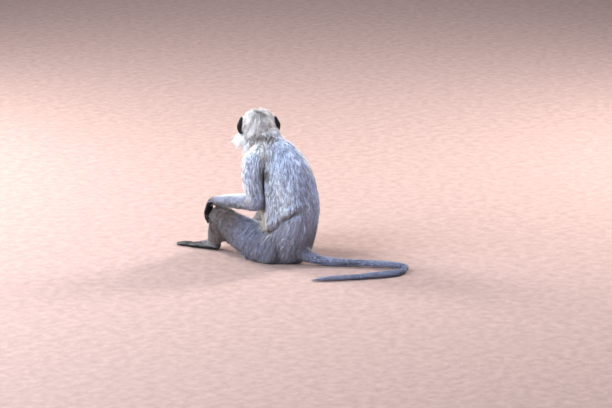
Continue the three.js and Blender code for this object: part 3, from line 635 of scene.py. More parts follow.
# The fold of the flank over the left hip: turns round the trunk in degrees, the rest in millimetres.
FOLD = dict(turns=(-22, 7, 38, 79, 104), heights=(123, 139, 197, 237, 243), deep=10, swell=6)


def fold_place(points):
    """Height over the fold, in millimetres, and how strong the fold is there."""
    x, y, z = points.T / MM
    turn = np.degrees(np.arctan2(y - 20, x))
    level = np.interp(turn, FOLD["turns"], FOLD["heights"])
    level = level + 2.2 * np.sin(turn * 0.21) + 1.4 * np.sin(turn * 0.47 + 1)
    strength = smooth_step(-30, 5, turn) * smooth_step(97, 55, turn)
    return z - level, strength


def fold_flank(points, normals):
    """The flank rolls over the hip: a crease with a swelling above it and a softer one below."""
    over, strength = fold_place(points)
    rise = (FOLD["swell"] * bell(over - 20, 15) - FOLD["deep"] * bell(over + 1, 9)
            + 0.6 * FOLD["swell"] * bell(over + 28, 18))
    flank = smooth_step(48, 70, np.hypot(points[:, 0], points[:, 1] - 20 * MM) / MM)
    return points + normals * (rise * strength * flank * MM)[:, None]


skin = build_skin()
place_points(skin, fold_flank(points_of(skin), normals_of(skin)))
skin_points, skin_faces, skin_normals = points_of(skin), triangles_of(skin), normals_of(skin)
skin_tree = BVHTree.FromPolygons(skin_points.tolist(), skin_faces.tolist())


# ---------------------------------------------------------------- markings
def srgb(red, green, blue):
    """A colour as seen on a screen, as light."""
    c = np.array((red, green, blue)) / 255
    return np.where(c <= 0.04045, c / 12.92, ((c + 0.055) / 1.055) ** 2.4)


SILVER, GREY, SLATE = srgb(201, 213, 242), srgb(162, 171, 203), srgb(112, 116, 140)
CREAM, WHITE, CROWN = srgb(231, 225, 214), srgb(252, 251, 251), srgb(236, 232, 232)
FROST = srgb(228, 236, 253)
# The second brown is painted shade low on the trunk and under the forearms, and the hair's own brown on
# wrists, hands and feet.
SHIN_BROWN, SHADE_AND_HAND_BROWN, BLACK = srgb(116, 100, 98), srgb(88, 76, 76), srgb(24, 21, 25)
# Painted shade in the creases, and the brown of the markings behind the head with painted shade in their
# partings.
CREASE_SHADE_TONE, MARK_AND_SHADE_TONE = srgb(62, 52, 52), srgb(104, 84, 76)


def mixed(a, b, share):
    return a + (b - a) * np.asarray(share)[..., None]


# ---------------------------------------------------------------- regions of the coat
class Region:
    """A stretch of the coat: where it is, which way its hair lies, and the hair's size and colour."""

    def __init__(self, name, near, lie, hair, tone):
        self.name, self.near, self.lie, self.hair, self.tone = name, near, lie, hair, tone


class Spot:
    """What a region knows of some points of the skin."""

    def __init__(self, points, normals, share, angle, tangent):
        self.points, self.normals, self.head = points, normals, to_head(points)
        self.share, self.angle, self.tangent = share, angle, tangent


DOWN = np.array((0, 0, -1.0))
# Millimetres, but for free: at 0 the hair lies along the body, at 1 it stands off.
HAIR = ("length", "width", "lift", "free", "spacing")


def height_over(tube, points):
    """Height of points over a tube's surface, in millimetres."""
    return tube.nearest(points)[3] / MM


def beside_arm(points, side_name):
    """1 on the flank where the upper arm hangs against it."""
    height = height_over(limbs[side_name]["upper_arm"], points)
    return smooth_step(34, 8, height) * smooth_step(372 * MM, 348 * MM, points[:, 2])


# Painted shade in the hollow behind the left upper arm.
ARMPIT_SHADE = dict(centre=(101, -3, 343), radii=(26, 25, 30))  # the dark hollow behind the left upper arm


def creases(points):
    """Painted shade, 0 in the open and 1 deep in a crease: under the arms, over the left hip, where thighs
    meet the belly.
    """
    STRIDE = 40000
    dark = []
    for first in range(0, len(points), STRIDE):
        p = points[first:first + STRIDE]
        y, z = p[:, 1] / MM, p[:, 2] / MM
        on_trunk, thigh = height_over(trunk, p), height_over(limbs["left"]["thigh"], p)
        edge = 0.6 * bell(thigh - on_trunk + 2, 6)
        edge = edge * smooth_step(-30, 0, y) * smooth_step(128, 100, z)
        here = edge * (p[:, 0] > 0) * smooth_step(26, 16, np.minimum(thigh, on_trunk))
        for tubes in limbs.values():
            arm = smooth_step(34, 12, height_over(tubes["upper_arm"], p) + on_trunk)
            arm = arm * smooth_step(366, 350, z) * smooth_step(190, 215, z)
            groin = smooth_step(34, 14, height_over(tubes["thigh"], p) + on_trunk)
            groin = groin * smooth_step(-12, -40, y) * smooth_step(175, 140, z) * 0.8
            here = np.maximum(here, np.maximum(arm, groin))
        pit = np.linalg.norm((p / MM - ARMPIT_SHADE["centre"]) / ARMPIT_SHADE["radii"], axis=1)
        here = np.maximum(here, smooth_step(1.1, 0.7, pit))
        over, strength = fold_place(p)
        line = 0.85 * bell(over + 5, 7)
        line = line + 0.4 * smooth_step(-40, -8, over) * smooth_step(0, -8, over)
        fold = np.clip(line, 0, 1) * strength * smooth_step(30, 18, on_trunk)
        dark.append(np.maximum(here, fold))
    return np.concatenate(dark)


def trunk_lie(s):
    x, y, z = s.points.T
    fan = smooth_step(0.5, 0.9, s.share)
    outward = (1, 0, 0) * np.sign(x)[:, None] * (smooth_step(0, 0.07, np.abs(x)) * fan)[:, None]
    low = smooth_step(70 * MM, 15 * MM, z)[:, None]
    spread = unit((s.points - (0, 0.01, 0)) * (1, 1, 0))
    over, strength = fold_place(s.points)
    hip = (smooth_step(6, -14, over) * strength * smooth_step(70, 110, z / MM))[:, None]
    return -s.tangent + 0.75 * outward + low * (spread * 0.7 + DOWN * 0.3) + hip * np.array((0.35, -0.5, 0))


def trunk_hair(s):
    front = smooth_step(0.1, -0.7, s.normals[:, 1])
    over, strength = fold_place(s.points)
    lip = smooth_step(-4, 4, over) * smooth_step(66, 30, over) * strength
    armpit = np.maximum(beside_arm(s.points, "left"), beside_arm(s.points, "right"))
    top = smooth_step(0.8, 0.97, s.share)
    length = 56 - 20 * front - 22 * armpit
    length = length * (1 - lip) + np.clip(over * 0.9 + 13, 15, 56) * lip
    lift = 13 - 4 * front - 7 * armpit + 3 * lip - 4 * top
    return dict(length=length, width=1.85 - 0.4 * front - 0.5 * lip, lift=lift, free=0.1 + 0.1 * lip,
                spacing=2.2 + 0.05 * front)


def trunk_tone(s):
    """Silver on the left of the back and darker to the right and below, all painted light and shade, with a
    painted rim of light on the right side and shoulder; cream on the belly.
    """
    x, y, z = s.points.T
    side = smooth_step(-0.07, 0.08, x)
    low = smooth_step(0.23, 0.08, z)
    upper = smooth_step(0.22, 0.36, z)
    # Painted light: paler on the left and higher up; painted shade to the right.
    tone = mixed(GREY, SILVER, 0.6 + 0.3 * side + 0.1 * upper)
    # Painted light on the left flank.
    tone = mixed(tone, FROST, 0.7 * smooth_step(0.03, 0.08, x) * smooth_step(0.16, 0.22, z))
    # Painted shade low on the trunk, and brown painted shade on the lower right of the rump.
    tone = mixed(tone, mixed(GREY, SHADE_AND_HAND_BROWN, 0.55), low * 0.85)
    tone = mixed(tone, SHIN_BROWN, 0.7 * smooth_step(0.02, -0.06, x) * smooth_step(0.22, 0.12, z))
    # Painted rim light: white where the right side faces away, and on the slope up to the right shoulder.
    edge = smooth_step(0.5, 0.95, -s.normals[:, 0]) * smooth_step(0.2, 0.3, z)
    slope = smooth_step(0.15, 0.6, -s.normals[:, 0]) * smooth_step(0.35, 0.4, z)
    tone = mixed(tone, WHITE, np.maximum(0.15 * edge, 0.75 * slope))
    behind_belly = 0.3 * smooth_step(0.27, 0.2, z) * smooth_step(0.1, 0.13, z)
    return mixed(tone, CREAM, smooth_step(-0.12, -0.5, s.normals[:, 1] - behind_belly))


def neck_lie(s):
    outward = unit(s.points * (1, 0, 0) + (0, 0.02, 0)) * 0.6
    return -s.tangent + outward + DOWN * 0.4


def neck_hair(s):
    """Close on the right side of the neck, fuller on the left under the ruff."""
    full = smooth_step(0.2, 0.8, s.normals[:, 0]) * smooth_step(0.05, 0.4, s.share)
    close = smooth_step(0.1, 0.7, -s.normals[:, 0]) * smooth_step(0.15, 0.5, s.share)
    length = (56 + 8 * full - 10 * close) * (1 - 0.5 * nape_band(s.head))
    return dict(length=length, width=1.7, lift=13 + 12 * full - 9 * close,
                free=0.14 + 0.3 * full, spacing=2.15)


def neck_tone(s):
    behind = smooth_step(-0.2, 0.4, s.normals[:, 1])
    middle = smooth_step(0.042, 0.012, np.abs(s.points[:, 0] - 0.016))
    return mixed(WHITE, mixed(CROWN, SILVER, 0.5), behind * middle)


def near_head(points):
    local = to_head(points)
    height = head_field(local) * MM
    away = unit(local - HEAD_HEART)
    from_face = np.arccos(np.clip(-away[:, 1], -1, 1)) / math.pi
    angle = np.arctan2(away[:, 2], away[:, 0])
    return from_face, angle, np.zeros_like(points), height


def cheeks(head):
    """1 on the cheeks and jaw, where the ruff grows, in the head's frame."""
    x, y, z = head.T
    low = smooth_step(10, -8, z + 0.15 * (y + 20))
    return low * smooth_step(12, 24, np.abs(x)) * smooth_step(26, 2, y)


def chin(head):
    x, y, z = head.T
    return smooth_step(-34, -42, z) * smooth_step(26, 14, np.abs(x)) * smooth_step(-22, -34, y)


def brow_fringe(head):
    """1 on the band over the brows, where the hair stands forward and up."""
    x, y, z = head.T
    return smooth_step(15, 19, z - 0.0022 * x * x) * smooth_step(34, 26, z) * smooth_step(-24, -32, y)


def head_lie(s):
    x, y, z = s.head.T
    side = np.sign(x)
    back = np.column_stack([np.clip(1.9 * x / 40, -1.5, 1.5), np.full(len(x), 0.7), np.full(len(x), -0.9)])
    drop = smooth_step(-4, -34, z)
    ruff = np.column_stack([side * (1.35 - 0.25 * drop), 0.12 + 0 * x, -0.75 - 0.3 * drop])
    over_ear = np.column_stack([side * 1.2, 0.35 + 0 * x, -0.55 + 0 * x])
    beard = np.column_stack([0.3 * x / 20, -0.35 + 0 * x, -1 + 0 * x])
    fringe = np.column_stack([0.5 * x / 20, 0.1 + 0 * x, 1 + 0 * x])
    lie = mixed(back, over_ear, behind_ear(s.head))
    lie = mixed(lie, ruff, cheeks(s.head))
    lie = mixed(lie, beard, chin(s.head))
    lie = mixed(lie, fringe, brow_fringe(s.head))
    return lie @ HEAD_TURNS.T


def behind_ear(head):
    """1 behind the root of each ear, where the hair stands out over the ear."""
    x, y, z = head.T
    beside = smooth_step(27, 38, np.abs(x)) * smooth_step(4, 11, y) * smooth_step(42, 30, y)
    return beside * smooth_step(30, 18, np.abs(z - 8))


def head_hair(s):
    ruff, beard, fringe, ear = cheeks(s.head), chin(s.head), brow_fringe(s.head), behind_ear(s.head)
    x, y, z = s.head.T
    near_face = smooth_step(-14, -30, y)
    length = (34 - 15 * near_face) * (1 - ruff) + 84 * ruff
    length = length * (1 - beard) + 34 * beard
    length = length * (1 - fringe) + 15 * fringe
    length = length + 12 * smooth_step(18, 42, y) * smooth_step(10, -14, z) * (1 - ear) + 4 * ear
    lift = (14 - 9 * near_face) * (1 - ruff) + 42 * ruff + 4 * beard + 3 * fringe + 8 * ear
    lift = lift + 6 * smooth_step(16, 42, z) * smooth_step(-34, -10, y)
    length = length * (1 - 0.5 * nape_band(s.head) * (1 - ruff) - 0.35 * whorl(s.head))
    free = np.minimum(0.12 + 0.68 * ruff + 0.6 * beard + 0.3 * fringe + 0.7 * ear * (1 - ruff), 0.85)
    return dict(length=length, width=1.0 - 0.3 * near_face + 0.15 * ruff, lift=lift, free=free,
                spacing=1.42 - 0.3 * near_face - 0.14 * ruff)


# Brown markings behind the head, with painted shade in the partings and hollows, in its frame: from and to (x,
# level), half width, strength.
MARKS_AND_SHADE = [
    ((43, -58), (17, -40), 3.6, 1.0),  # slanting line at the top of the neck
    ((9, -50), (10, -70), 4.6, 1.0),  # upright hollow beside it
    ((-18, -52), (-38, -58), 6.5, 1.0),  # parted hair
    ((22, -56), (-44, -59), 14, 0.75),  # brown band of the nape
    ((10, 53), (-20, 36), 7, 0.7),  # whorl of the crown
    ((-4, 40), (-8, 4), 8, 0.2),  # parting
]


def nape_band(head):
    """1 where the hair at the nape is short and parted, in the head's frame."""
    x, y, z = head.T
    level = z - 0.27 * y
    return (smooth_step(-14, -30, level) * smooth_step(-84, -66, level) * smooth_step(58, 38, np.abs(x + 6))
            * smooth_step(10, 26, y))


def whorl(head):
    """1 round the whorl on top of the head."""
    x, y, z = head.T
    return smooth_step(30, 12, np.hypot(x + 3, y - 24)) * smooth_step(30, 44, z)


def marks(points):
    """How brown the coat is behind the head at points in the part's frame, with painted shade in its partings.
    """
    x, y, z = to_head(points).T
    level = z - 0.27 * y
    brown = np.zeros(len(points))
    for start, end, half, strength in MARKS_AND_SHADE:
        start, run = np.array(start, float), np.subtract(end, start)
        share = np.clip(((x - start[0]) * run[0] + (level - start[1]) * run[1]) / run.dot(run), 0, 1)
        away = np.hypot(x - start[0] - share * run[0], level - start[1] - share * run[1])
        brown = np.maximum(brown, strength * smooth_step(1.5 * half, 0.4 * half, away))
    return brown * smooth_step(2, 16, y)


def head_tone(s):
    x, y, z = s.head.T
    crown = smooth_step(18, 40, z)
    tone = mixed(mixed(CROWN, WHITE, 0.6), CROWN, crown)
    return mixed(tone, WHITE, np.maximum(np.maximum(cheeks(s.head), chin(s.head)), behind_ear(s.head)))


def near_ear(side):
    at, turned = ear_place(side)
    radii = (EAR["width"] / 2 + 3, EAR["depth"] + 3, EAR["height"] / 2 + 2)

    def near(points):
        local = (to_head(points) - at) @ turned
        height = ellipsoid_distance(local, ((0, 0, 0), radii), 1) * MM
        share, angle = local[:, 2] / EAR["height"] + 0.5, np.arctan2(local[:, 1], local[:, 0])
        return share, angle, np.zeros_like(points), height
    return near


def under(s):
    """1 where the skin faces the ground."""
    return smooth_step(0.1, -0.6, s.normals[:, 2])


def inner(s, side):
    """1 on the side of a limb that faces the other one."""
    return smooth_step(0.15, 0.75, -side * s.normals[:, 0])


def arm_tone(s, side):
    """Silver outside, paler where it faces front and out with painted light, darker towards the elbow with
    painted shade, cream within.
    """
    sunny = smooth_step(0.2, 0.9, s.normals @ np.array((side * 0.7, -0.7, 0)))
    tone = mixed(mixed(SILVER, FROST, 0.5), mixed(GREY, SLATE, 0.2), 0.7 * smooth_step(0.45, 0.95, s.share))
    return mixed(mixed(tone, WHITE, 0.6 * sunny), CREAM, 0.6 * inner(s, side))


def forearm_tone(s):
    # Painted shade under the forearm, and a painted highlight along its top.
    below = smooth_step(0.45, -0.35, s.normals[:, 2])
    top = mixed(mixed(GREY, SLATE, 0.8), WHITE, 0.4 * smooth_step(0.7, 0.98, s.normals[:, 2]))
    tone = mixed(top, mixed(SLATE, SHADE_AND_HAND_BROWN, 0.6) * 0.75, below)
    # Towards the wrist its own dark brown and black, blacker underneath with painted shade.
    wrist = np.maximum(smooth_step(0.72, 0.97, s.share), below * smooth_step(0.6, 0.85, s.share))
    return mixed(tone, mixed(SHADE_AND_HAND_BROWN, BLACK, 0.5 * below), 0.85 * wrist)


def thigh_tone(s, side):
    brown = 0.75 * smooth_step(0.4, 0.8, s.share) + 0.25 * smooth_step(0.3, 0.8, s.normals[:, 2])
    tone = mixed(mixed(GREY, SLATE, 0.7), SHIN_BROWN * 0.7, brown)
    tone = mixed(tone, CREAM, 0.85 * inner(s, side))
    return mixed(tone, CREAM * 0.8, 0.35 * smooth_step(0.03, 0.01, s.points[:, 2]))


def upper_arm_hair(s):
    return dict(length=46, width=1.9, lift=11, free=0.1, spacing=2.25)


def forearm_hair(s):
    return dict(length=34 - 15 * s.share + 11 * under(s), width=1.7 - 0.5 * s.share, lift=7.5 - 5.3 * s.share,
                free=0.1 + 0.4 * under(s), spacing=2.15 - 0.4 * s.share)


def thigh_hair(s):
    return dict(length=52 - 14 * s.share, width=2.0, lift=12, free=0.1 + 0.5 * under(s), spacing=2.45)


def shin_hair(s):
    return dict(length=38 - 18 * s.share, width=1.8 - 0.5 * s.share, lift=12 - 8 * s.share,
                free=0.14 + 0.25 * smooth_step(0, 0.7, s.normals[:, 1]), spacing=2.3 - 0.4 * s.share)


def limb_regions(name, side, tubes):
    """Upper arm, forearm, thigh and shin of one side, with the lie, hair and colour of each."""
    return [Region(limb + "_" + name, tubes[limb].nearest, lie, hair, tone) for limb, lie, hair, tone in (
        ("upper_arm", lambda s: s.tangent + (0, 0.12, 0), upper_arm_hair, lambda s: arm_tone(s, side)),
        ("forearm", lambda s: s.tangent + DOWN * 0.35, forearm_hair, forearm_tone),
        ("thigh", lambda s: s.tangent * 0.45 + DOWN * 0.9 + (0, 0.1, 0), thigh_hair,
         lambda s: thigh_tone(s, side)),
        ("shin", lambda s: s.tangent + (0, 0.15, 0), shin_hair,
         lambda s: mixed(SHIN_BROWN * 0.68, CREAM, 0.25 * inner(s, side))),
    )]


def far_regions(name, side, pose):
    """Hand and foot: short hair on their backs near the wrist and ankle, bare beyond."""
    palm, fingers, along = hand_parts(pose, side)
    reach = [tuple(p / MM) for p in np.vstack([palm.centres, fingers[1].centres[4::4]])]
    hand = Tube([(*p, 24, 11) for p in reach], (-along[1], along[0], 0), (8, 8))
    sole, _, toes = foot_parts(pose, side)
    reach = [tuple(p / MM) for p in np.vstack([sole.centres, toes[1].centres[4::4]])]
    foot = Tube([(*p, 26, 13) for p in reach], sole.side, (10, 8))

    def short(s):
        bare = smooth_step(0.2, 0.42, s.share)
        return dict(length=14 - 6 * bare, width=1.1, lift=2.6, free=0.05, spacing=1.75)

    def dark(s):
        return mixed(mixed(SHADE_AND_HAND_BROWN, SLATE, 0.4), BLACK, smooth_step(0.05, 0.34, s.share))
    return [Region("hand_" + name, hand.nearest, lambda s: s.tangent, short, dark),
            Region("foot_" + name, foot.nearest, lambda s: s.tangent, short, dark)]


def tail_hair(s):
    return dict(length=32 - 9 * s.share, width=1.7, lift=9 - 6.6 * s.share, free=0.08, spacing=2.3)


def tail_tone(s):
    return mixed(mixed(GREY, SLATE, 0.4), SLATE, smooth_step(0.3, 1, s.share))


REGIONS = [
    Region("trunk", trunk.nearest, trunk_lie, trunk_hair, trunk_tone),
    Region("neck", neck.nearest, neck_lie, neck_hair, neck_tone),
    Region("head", near_head, head_lie, head_hair, head_tone),
    Region("tail", tail.nearest, lambda s: s.tangent, tail_hair, tail_tone),
]
for side_name, (side, pose) in SIDES.items():
    REGIONS += limb_regions(side_name, side, limbs[side_name])
    REGIONS += far_regions(side_name, side, pose)
    REGIONS.append(Region("ear_" + side_name, near_ear(side), lambda s: s.points * 0 + DOWN,
                          lambda s: dict(length=8, width=1, lift=2, free=0, spacing=2.5),
                          lambda s: s.points * 0 + BLACK))
NAMES = [region.name for region in REGIONS]
OVERLAP = 6 * MM  # how far regions run into each other


def read_coat(points, normals):
    """Lie, hair sizes, colour, region and place in the region for points of the skin."""
    STRIDE = 20000
    parts = []
    for first in range(0, len(points), STRIDE):
        p, n = points[first:first + STRIDE], normals[first:first + STRIDE]
        spots_here, heights = [], []
        for region in REGIONS:
            share, angle, tangent, height = region.near(p)
            spots_here.append(Spot(p, n, share, angle, tangent))
            heights.append(height)
        heights = np.array(heights)
        weights = np.exp(-(heights - heights.min(axis=0)) / OVERLAP)
        weights /= weights.sum(axis=0)
        lie, tone = np.zeros_like(p), np.zeros_like(p)
        hair = {key: np.zeros(len(p)) for key in HAIR}
        for region, spot, weight in zip(REGIONS, spots_here, weights):
            lie += unit(region.lie(spot)) * weight[:, None]
            tone += np.broadcast_to(region.tone(spot), p.shape) * weight[:, None]
            for key, value in region.hair(spot).items():
                hair[key] += value * weight
        which = np.argmax(weights, axis=0)
        share = np.choose(which, [spot.share for spot in spots_here])
        angle = np.choose(which, [spot.angle for spot in spots_here])
        parts.append((along_tangent(lie, n), tone, which, share, angle, *(hair[key] for key in HAIR)))
    lie, tone, which, share, angle, *sizes = (np.concatenate(column) for column in zip(*parts))
    return lie, tone, which, share, angle, dict(zip(HAIR, sizes))


def is_region(which, start):
    return np.isin(which, [i for i, name in enumerate(NAMES) if name.startswith(start)])


def bareness(points, which, share, normals):
    """1 on bare skin: face, ears, fingers, toes, palms and soles."""
    bare = np.where(is_region(which, "head"), bare_face(to_head(points)), 0)
    bare = np.where(is_region(which, "ear"), 1, bare)
    hand = np.maximum(smooth_step(0.22, 0.36, share), smooth_step(0.05, -0.35, normals[:, 2]))
    bare = np.where(is_region(which, "hand") | is_region(which, "foot"), hand, bare)
    return bare


skin_lie, skin_tone, skin_which, skin_share, _, skin_hair = read_coat(skin_points, skin_normals)
skin_bare = bareness(skin_points, skin_which, skin_share, skin_normals)


# ---------------------------------------------------------------- tufts
# Share of the length, of the width and of the lift at each station of a tuft.
LYING = np.array([(0.0, 0.7, -0.15), (0.45, 1.0, 0.7), (1.0, 0.0, 0.85)])
FLOWING = np.array([(0.0, 0.6, -0.15), (0.28, 1.0, 0.45), (0.62, 0.8, 0.75), (1.0, 0.0, 0.95)])
SECTION = np.array([(-0.5, -0.1), (0.0, 0.22), (0.5, -0.1)])  # across and out, in widths
SHADE = ((0, 0.3, 1), (0.82, 0.98, 1.04))  # how dark a tuft is at shares of its length
TWIST = 0.3
CLUMP = 5.5 * MM
PULL = 0.3  # how far the tips of a clump come together
STRAY = dict(share=0.05, width=0.5, lift=1.4, free=0.4, pull=0.1)
STREAK = dict(width=5 * MM, step=5 * MM, steps=7, contrast=0.23)
OFF_GROUND = 0.4 * MM
ATLAS = 4  # regions along each side of the map
MARGIN = 0.03  # of each region, left free on the map
PATCH = 0.003


def cells(points, size):
    """The number of the cell that each point is in, on a grid of that size."""
    cell = np.floor(points / size).astype(np.int64)
    return (cell[:, 0] * 7919 + cell[:, 1]) * 7907 + cell[:, 2]


def scatter():
    """Roots spread evenly over the furred skin: face and place within it. None grow where it is sat on."""
    OVERSAMPLE, CELL, SAT_ON = 3.2, 1.22, 2.5 * MM
    a, b, c = (skin_points[skin_faces[:, k]] for k in range(3))
    area = np.linalg.norm(np.cross(b - a, c - a), axis=1) / 2
    spacing = skin_hair["spacing"][skin_faces].mean(axis=1) * MM
    cover = smooth_step(0.3, 0.75, 1 - skin_bare[skin_faces].mean(axis=1))
    seated = (a[:, 2] + b[:, 2] + c[:, 2]) / 3 < SAT_ON
    expected = area / spacing**2 * OVERSAMPLE * cover * ~seated
    count = chance.poisson(expected)
    face = np.repeat(np.arange(len(skin_faces)), count)
    chance.shuffle(face)
    u, v = chance.random((2, len(face)))
    u, v = np.where(u + v > 1, 1 - u, u), np.where(u + v > 1, 1 - v, v)
    bary = np.column_stack([1 - u - v, u, v])
    points = sum(skin_points[skin_faces[face, k]] * bary[:, k:k + 1] for k in range(3))
    _, first = np.unique(cells(points, (spacing[face] * CELL)[:, None]), return_index=True)
    first.sort()
    return face[first], bary[first]


def at_roots(values, face, bary):
    return sum((values[skin_faces[face, k]].T * bary[:, k]).T for k in range(3))


def nearest_skin(points):
    """Nearest place of the skin to each point, with its normal, the lie of the hair there and the face."""
    find = skin_tree.find_nearest
    place = np.empty_like(points)
    face = np.empty(len(points), int)
    for i, p in enumerate(points.tolist()):
        hit = find(p)
        place[i], face[i] = hit[0], hit[2]
    corners = skin_faces[face]
    return place, unit(skin_normals[corners].mean(axis=1)), unit(skin_lie[corners].mean(axis=1))


def comb(profile, roots, normals, lie, length, lift, free):
    """The line of each tuft: its points at the profile's shares, lying along the skin or standing off it."""
    DEEPEST, DROOP, KEEP, FOLLOW = 8 * MM, 0.22, 0.45, 0.55
    heading = unit(lie + normals * (0.75 * free + 0.12)[:, None])
    line = [roots + normals * (profile[0, 2] * 0.9 * np.minimum(lift, DEEPEST))[:, None]]
    at, out = roots, normals
    for before, here in zip(profile[:-1], profile[1:]):
        step = (here[0] - before[0]) * length
        ahead = at + heading * step[:, None]
        place, out, field = nearest_skin(ahead)
        own = np.sum((ahead - place) * out, axis=1)
        resting = lift * here[2]
        height = resting * (1 - free) + np.maximum(own, resting * 0.6) * free
        at = place + out * height[:, None]
        line.append(at)
        onward = along_tangent(heading, out) * KEEP + field * FOLLOW
        drooping = heading + DOWN * DROOP
        heading = unit(onward * (1 - free)[:, None] + drooping * free[:, None])
    return np.stack(line, axis=1)


def clumps(roots):
    """The clump of each tuft, and the tuft in the middle of each clump."""
    _, centres = np.unique(cells(roots, CLUMP), return_index=True)
    tree = tree_of(roots[centres])
    return np.array([tree.find(p)[1] for p in roots.tolist()]), centres


def tree_of(points):
    tree = KDTree(len(points))
    for i, point in enumerate(points):
        tree.insert(point, i)
    tree.balance()
    return tree


def streaks(roots, lie):
    """Paler and darker streaks that run along the lie of the hair: -2.2 to 0.8."""
    _, cell = np.unique(cells(roots, STREAK["width"]), return_inverse=True)
    own = np.random.default_rng(5).normal(0, 1, cell.max() + 1)[cell]
    tree = tree_of(roots)
    total = own.copy()
    for way in (1, -1):
        ahead = np.array([tree.find(p)[1] for p in (roots + way * STREAK["step"] * lie).tolist()])
        at = ahead
        for _ in range(STREAK["steps"]):
            total += own[at]
            at = ahead[at]
    return np.clip(total / total.std(), -2.2, 0.8)


def blade_shapes(profile, line, normals, width, tone, uv, shaded=True):
    """Closed three-sided blades along the lines: points, faces, colours, places on the map and strands."""
    count, rings = len(line), len(profile) - 1
    along = unit(np.concatenate([line[:, 1:] - line[:, :-1], line[:, -1:] - line[:, -2:-1]], axis=1))
    out = unit(normals[:, None] - np.sum(normals[:, None] * along, axis=2, keepdims=True) * along)
    across = np.cross(along, out)
    twist = chance.normal(0, TWIST, count)[:, None, None]
    cos, sin = np.cos(twist), np.sin(twist)
    across, out = across * cos + out * sin, out * cos - across * sin
    wide = (width[:, None] * profile[None, :rings, 1])[:, :, None, None]
    ring = (line[:, :rings, None] + across[:, :rings, None] * SECTION[None, None, :, :1] * wide
            + out[:, :rings, None] * SECTION[None, None, :, 1:] * wide)
    points = np.concatenate([ring.reshape(count, rings * 3, 3), line[:, -1:]], axis=1)
    points[..., 2] = np.maximum(points[..., 2], OFF_GROUND)
    faces = [(0, 1, 2)]
    for r in range(rings - 1):
        for k in range(3):
            a, b = r * 3 + k, r * 3 + (k + 1) % 3
            faces += [(a, a + 3, b), (b, a + 3, b + 3)]
    last = (rings - 1) * 3
    faces += [(last + k, last + 3, last + (k + 1) % 3) for k in range(3)]
    size = rings * 3 + 1
    faces = (np.array(faces)[None] + (np.arange(count) * size)[:, None, None]).reshape(-1, 3)
    shade = np.interp(profile[:, 0], *SHADE)
    fade = np.append(np.repeat(shade[:rings], 3), shade[-1])
    colours = np.ones((count, size, 4), np.float32)
    colours[..., :3] = np.clip(tone[:, None] * fade[None, :, None], 0, 1)
    if shaded:
        # Brown markings with painted shade in their partings, and painted shade in the creases, by the place
        # of each point.
        at = line.reshape(-1, 3)
        brown = marks(at).reshape(count, -1) * chance.uniform(0.45, 1.5, count)[:, None]
        for own, share in ((MARK_AND_SHADE_TONE, brown), (CREASE_SHADE_TONE, creases(at).reshape(count, -1) * 0.9)):
            share = np.concatenate([np.repeat(share[:, :rings], 3, axis=1), share[:, rings:]], axis=1)
            colours[..., :3] = mixed(colours[..., :3], own, np.clip(share, 0, 1))
    corner = np.zeros((size, 2))
    corner[:-1, 0] = np.tile((-0.5, 0, 0.5), rings)
    corner[:, 1] = np.append(np.repeat(profile[:rings, 0], 3), 1) - 0.5
    places = uv[:, None] + corner[None] * PATCH
    strand = np.zeros((count, size, 3), np.float32)
    strand[..., :2] = corner
    strand[..., 2] = chance.random(count)[:, None]
    return points.reshape(-1, 3), faces, colours.reshape(-1, 4), places.reshape(-1, 2), strand.reshape(-1, 3)


def piece(name, shapes):
    """One mesh of all the given blades."""
    starts = np.cumsum([0] + [len(shape[0]) for shape in shapes])
    points, colours, places, strand = (np.concatenate([shape[k] for shape in shapes]) for k in (0, 2, 3, 4))
    faces = np.concatenate([shape[1] + start for shape, start in zip(shapes, starts)])
    mesh = bpy.data.meshes.new(name)
    mesh.vertices.add(len(points))
    mesh.vertices.foreach_set("co", points.ravel())
    mesh.loops.add(faces.size)
    mesh.loops.foreach_set("vertex_index", faces.ravel().astype(np.int32))
    mesh.polygons.add(len(faces))
    mesh.polygons.foreach_set("loop_start", np.arange(len(faces), dtype=np.int32) * 3)
    mesh.update(calc_edges=True)
    shade_smooth(mesh)
    mesh.color_attributes.new("tone", "FLOAT_COLOR", "POINT").data.foreach_set("color", colours.ravel())
    mesh.attributes.new("strand", "FLOAT_VECTOR", "POINT").data.foreach_set("vector", strand.ravel())
    on_map = places[faces.ravel()].astype(np.float32)
    mesh.uv_layers.new(name="OFBake").uv.foreach_set("vector", on_map.ravel())
    obj = bpy.data.objects.new(name, mesh)
    bpy.context.scene.collection.objects.link(obj)
    return obj


def map_place(which, share, angle):
    """A root's place on the unwrapped skin: one cell for each region, along it and round it."""
    cell = np.column_stack([which % ATLAS, which // ATLAS])
    within = np.column_stack([np.clip(share, 0, 1), angle / (2 * math.pi) + 0.5])
    return (cell + MARGIN + (1 - 2 * MARGIN) * within) / ATLAS


def piece_of(which, points):
    """The name of the coat piece that each tuft goes to."""
    pieces = np.empty(len(which), dtype="U24")
    behind = points[:, 1] > np.interp(points[:, 2], (0.05, 0.4), (0.02, -0.04))
    left = np.where(points[:, 0] > 0, "left", "right")
    trunk_piece = np.where(behind, np.char.add("coat_back_", left), "coat_breast")
    trunk_piece = np.where(points[:, 2] < 0.13, np.char.add("coat_rump_", left), trunk_piece)
    for i, name in enumerate(NAMES):
        here = which == i
        if name == "trunk":
            pieces[here] = trunk_piece[here]
        elif name == "neck":
            pieces[here] = "coat_mantle"
        elif name.startswith(("head", "ear")):
            crown = np.char.add("coat_crown_", left[here])
            pieces[here] = np.where(cheeks(to_head(points[here])) > 0.5, "coat_ruff", crown)
        elif name == "tail":
            pieces[here] = "coat_tail"
        else:
            part, side_name = name.rsplit("_", 1)
            whole = {"upper_arm": "upper_arm", "forearm": "forearm", "hand": "forearm",
                     "thigh": "thigh", "shin": "shin", "foot": "shin"}[part]
            pieces[here] = "coat_" + whole + "_" + side_name
    return pieces


